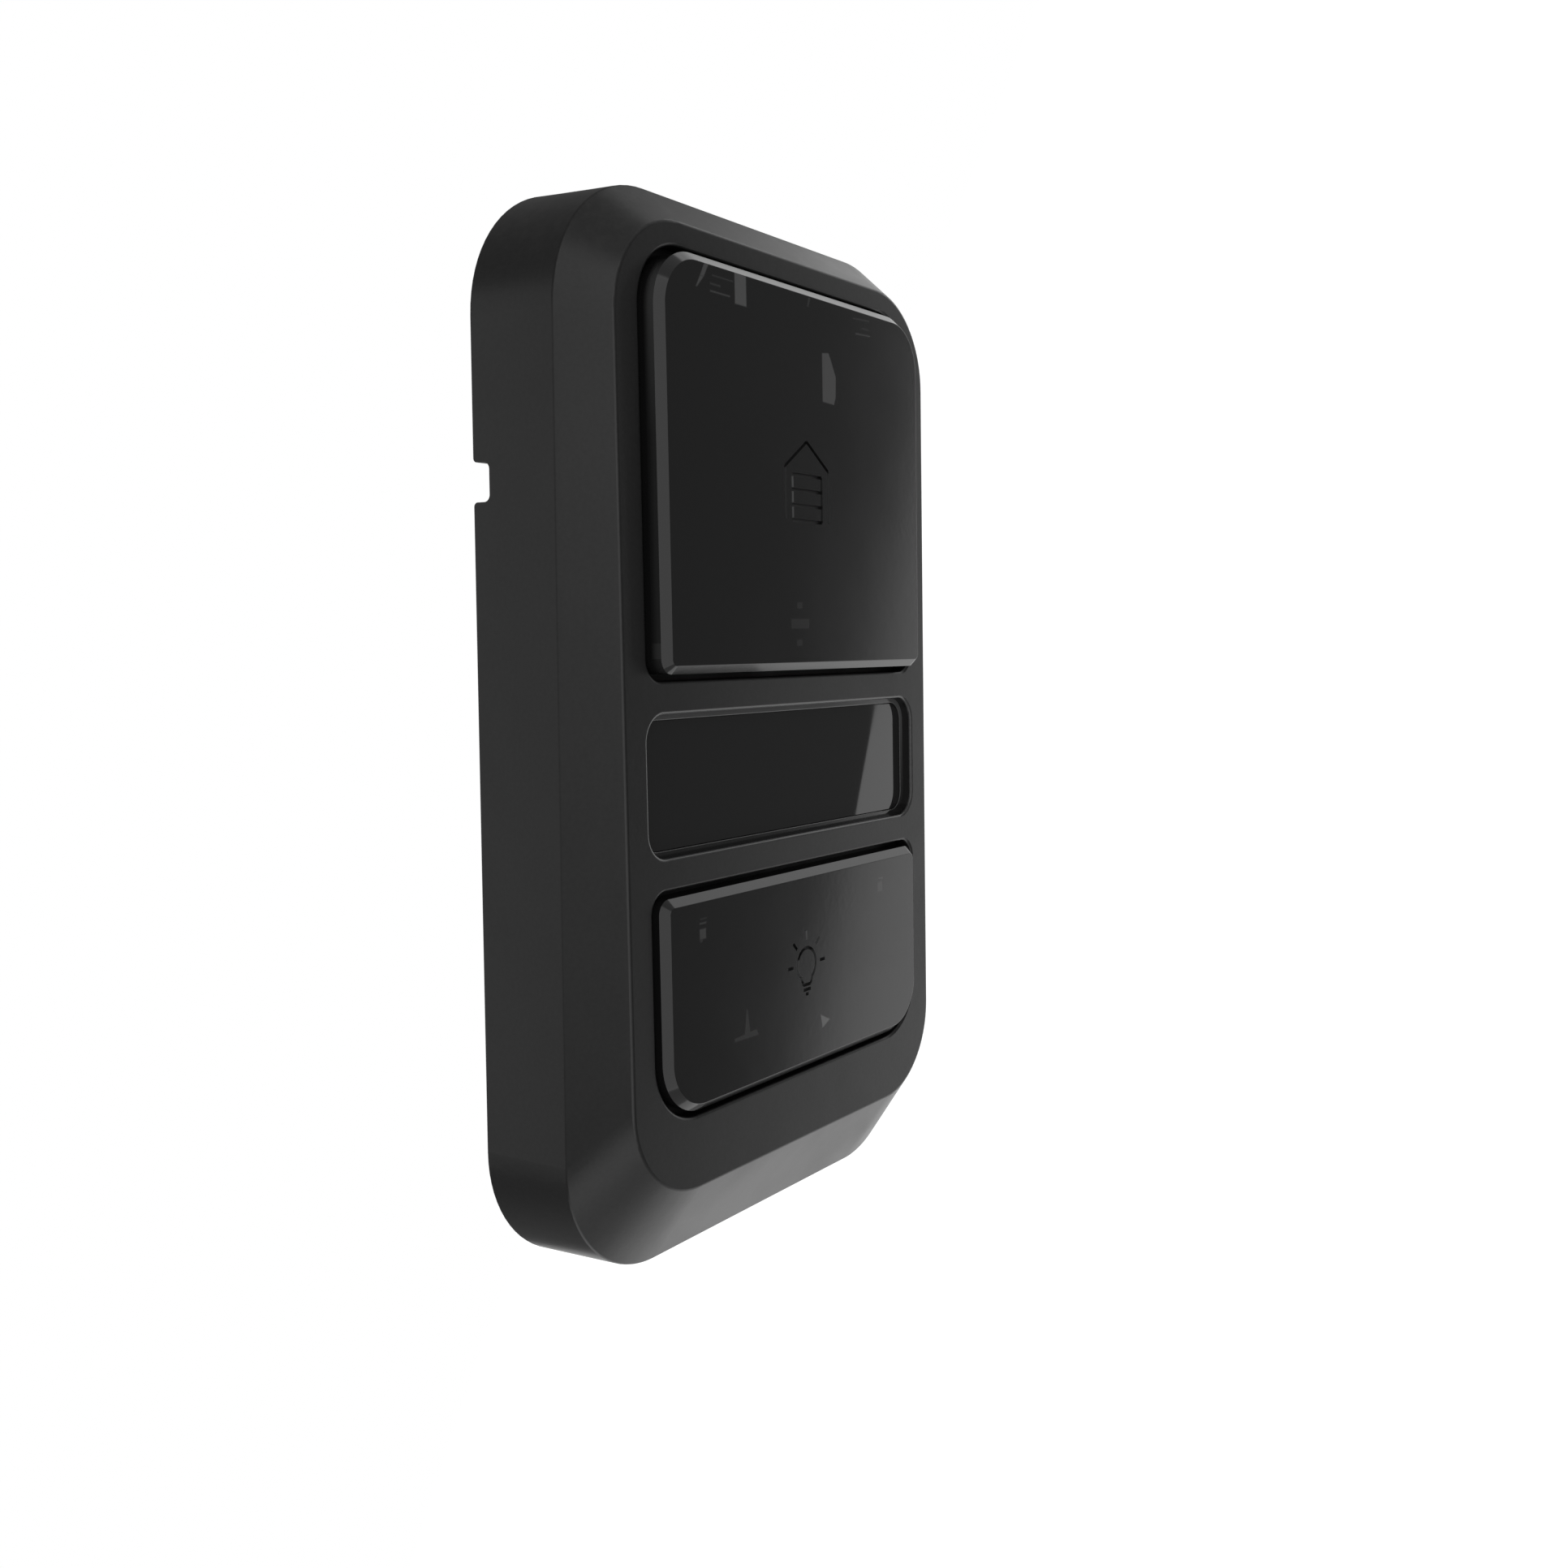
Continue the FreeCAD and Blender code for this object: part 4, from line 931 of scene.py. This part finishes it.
# %% [markdown]
# ## Backdrop
# The backdrop is a wide white sheet that curves from behind the panel round
# to its right, as part of a sphere. Its front edge leans, and the reflection
# of that edge is the bright wedge in the display window. Its bounds are
# angles in degrees: round the panel from the front, and up from the level.

# %% Backdrop
SHEET_RADIUS = 3.0
SHEET_START = 59.68
SHEET_START_LEAN = 0.21
SHEET_END = 124.0
SHEET_END_LEAN = -0.45
SHEET_LOW, SHEET_HIGH = -75, 66
STEPS_ROUND, STEPS_UP = 40, 20


def sheet_point(rise, share):
    """Point of the sheet at a rise in degrees, a share of the way from its front edge."""
    start = SHEET_START + SHEET_START_LEAN * rise
    end = SHEET_END + SHEET_END_LEAN * rise
    angle = math.radians(start + (end - start) * share)
    level = math.radians(rise)
    return (
        SHEET_RADIUS * math.cos(level) * math.sin(angle),
        -SHEET_RADIUS * math.cos(level) * math.cos(angle),
        SHEET_RADIUS * math.sin(level),
    )


sheet_points = [
    sheet_point(SHEET_LOW + (SHEET_HIGH - SHEET_LOW) * up / STEPS_UP, turn / STEPS_ROUND)
    for up in range(STEPS_UP + 1)
    for turn in range(STEPS_ROUND + 1)
]
row = STEPS_ROUND + 1
sheet_faces = [
    (up * row + turn, up * row + turn + 1, (up + 1) * row + turn + 1, (up + 1) * row + turn)
    for up in range(STEPS_UP)
    for turn in range(STEPS_ROUND)
]
add_stage("white_backdrop", sheet_points, sheet_faces)
print("backdrop from", SHEET_START, "to", SHEET_END, "degrees, with", len(sheet_faces), "faces")

# %% [markdown]
# ## Room light
# The room is dim, so black plastic stays black, and white only where the
# camera looks straight into it.

# %% World
ROOM_LEVEL = 0.16

world = bpy.data.worlds.new("studio_room")
bpy.context.scene.world = world
world.use_nodes = True
tree = world.node_tree
tree.nodes.clear()
seen = add_node(tree, "ShaderNodeLightPath").outputs["Is Camera Ray"]
room = add_node(tree, "ShaderNodeBackground", None, Color=grey(1.0), Strength=ROOM_LEVEL)
white = add_node(tree, "ShaderNodeBackground", None, Color=grey(1.0), Strength=1.0)
both = add_node(tree, "ShaderNodeMixShader", None, i0=seen, i1=room.outputs[0], i2=white.outputs[0])
add_node(tree, "ShaderNodeOutputWorld", None, Surface=both.outputs[0])
print("room level", ROOM_LEVEL)

# %% [markdown]
# ## Lamps
# Five soft lamps shape the panel: a tall one near the camera for the face and
# the caps, two that light the side band from the left and from behind, and
# two weak ones for the upper and the lower bevel. An angle of 0, 0 is
# straight in front of the panel.

# %% Soft lamps
LAMP_DISTANCE = 1.5


def soft_lamp(name, azimuth, elevation, width, height, radiance):
    """Rectangular lamp that faces the panel. Radiance 1 reflects as plain white."""
    data = bpy.data.lights.new(name, "AREA")
    data.shape = "RECTANGLE"
    data.size = width
    data.size_y = height
    data.energy = radiance * math.pi * width * height
    lamp = bpy.data.objects.new(name, data)
    bpy.context.scene.collection.objects.link(lamp)
    turn, rise = math.radians(azimuth), math.radians(elevation)
    away = Vector((math.sin(turn) * math.cos(rise), -math.cos(turn) * math.cos(rise), math.sin(rise)))
    lamp.location = away * LAMP_DISTANCE
    lamp.rotation_mode = "QUATERNION"
    lamp.rotation_quaternion = away.to_track_quat("Z", "Y")


soft_lamp("lamp_camera_side", azimuth=-40, elevation=0, width=1.4, height=4.4, radiance=0.93)
soft_lamp("lamp_left", azimuth=-92, elevation=2, width=0.8, height=0.9, radiance=0.3)
soft_lamp("lamp_left_behind", azimuth=-133, elevation=0, width=1.2, height=1.5, radiance=0.42)
soft_lamp("lamp_front_above", azimuth=25, elevation=62, width=1.6, height=1.0, radiance=0.25)
soft_lamp("lamp_front_below", azimuth=25, elevation=-62, width=1.6, height=1.0, radiance=0.3)
print("placed", len(bpy.data.lights), "lamps")

# %% [markdown]
# ## Camera
# The camera stands where the photograph was taken: close, to the left of the
# face and a little above its middle. The place, the turn and the lens come
# from the panel's own edges, for a square picture.

# %% Camera
CAMERA_PLACE = Vector((-168.68, -129.10, 12.372)) * MM
CAMERA_AZIMUTH = math.radians(-56.176)
CAMERA_PITCH = math.radians(5.382)
CAMERA_ROLL = math.radians(-0.176)
FOCAL_LENGTH = 36.568
SENSOR_WIDTH = 36.0
NEAREST_SEEN = 5 * MM

ahead = Vector(
    (
        -math.sin(CAMERA_AZIMUTH) * math.cos(CAMERA_PITCH),
        math.cos(CAMERA_AZIMUTH) * math.cos(CAMERA_PITCH),
        -math.sin(CAMERA_PITCH),
    )
)
level_right = Vector((math.cos(CAMERA_AZIMUTH), math.sin(CAMERA_AZIMUTH), 0.0))
level_up = level_right.cross(ahead)
right = level_right * math.cos(CAMERA_ROLL) + level_up * math.sin(CAMERA_ROLL)
up = level_up * math.cos(CAMERA_ROLL) - level_right * math.sin(CAMERA_ROLL)
camera_data = bpy.data.cameras.new("photo_camera")
camera_data.sensor_width = SENSOR_WIDTH
camera_data.lens = FOCAL_LENGTH
camera_data.clip_start = NEAREST_SEEN
camera = bpy.data.objects.new("photo_camera", camera_data)
bpy.context.scene.collection.objects.link(camera)
camera.matrix_world = Matrix.Translation(CAMERA_PLACE) @ Matrix((right, up, -ahead)).transposed().to_4x4()
bpy.context.scene.camera = camera
bpy.context.scene.view_settings.view_transform = "Standard"
print("camera at", [round(part, 4) for part in camera.location])
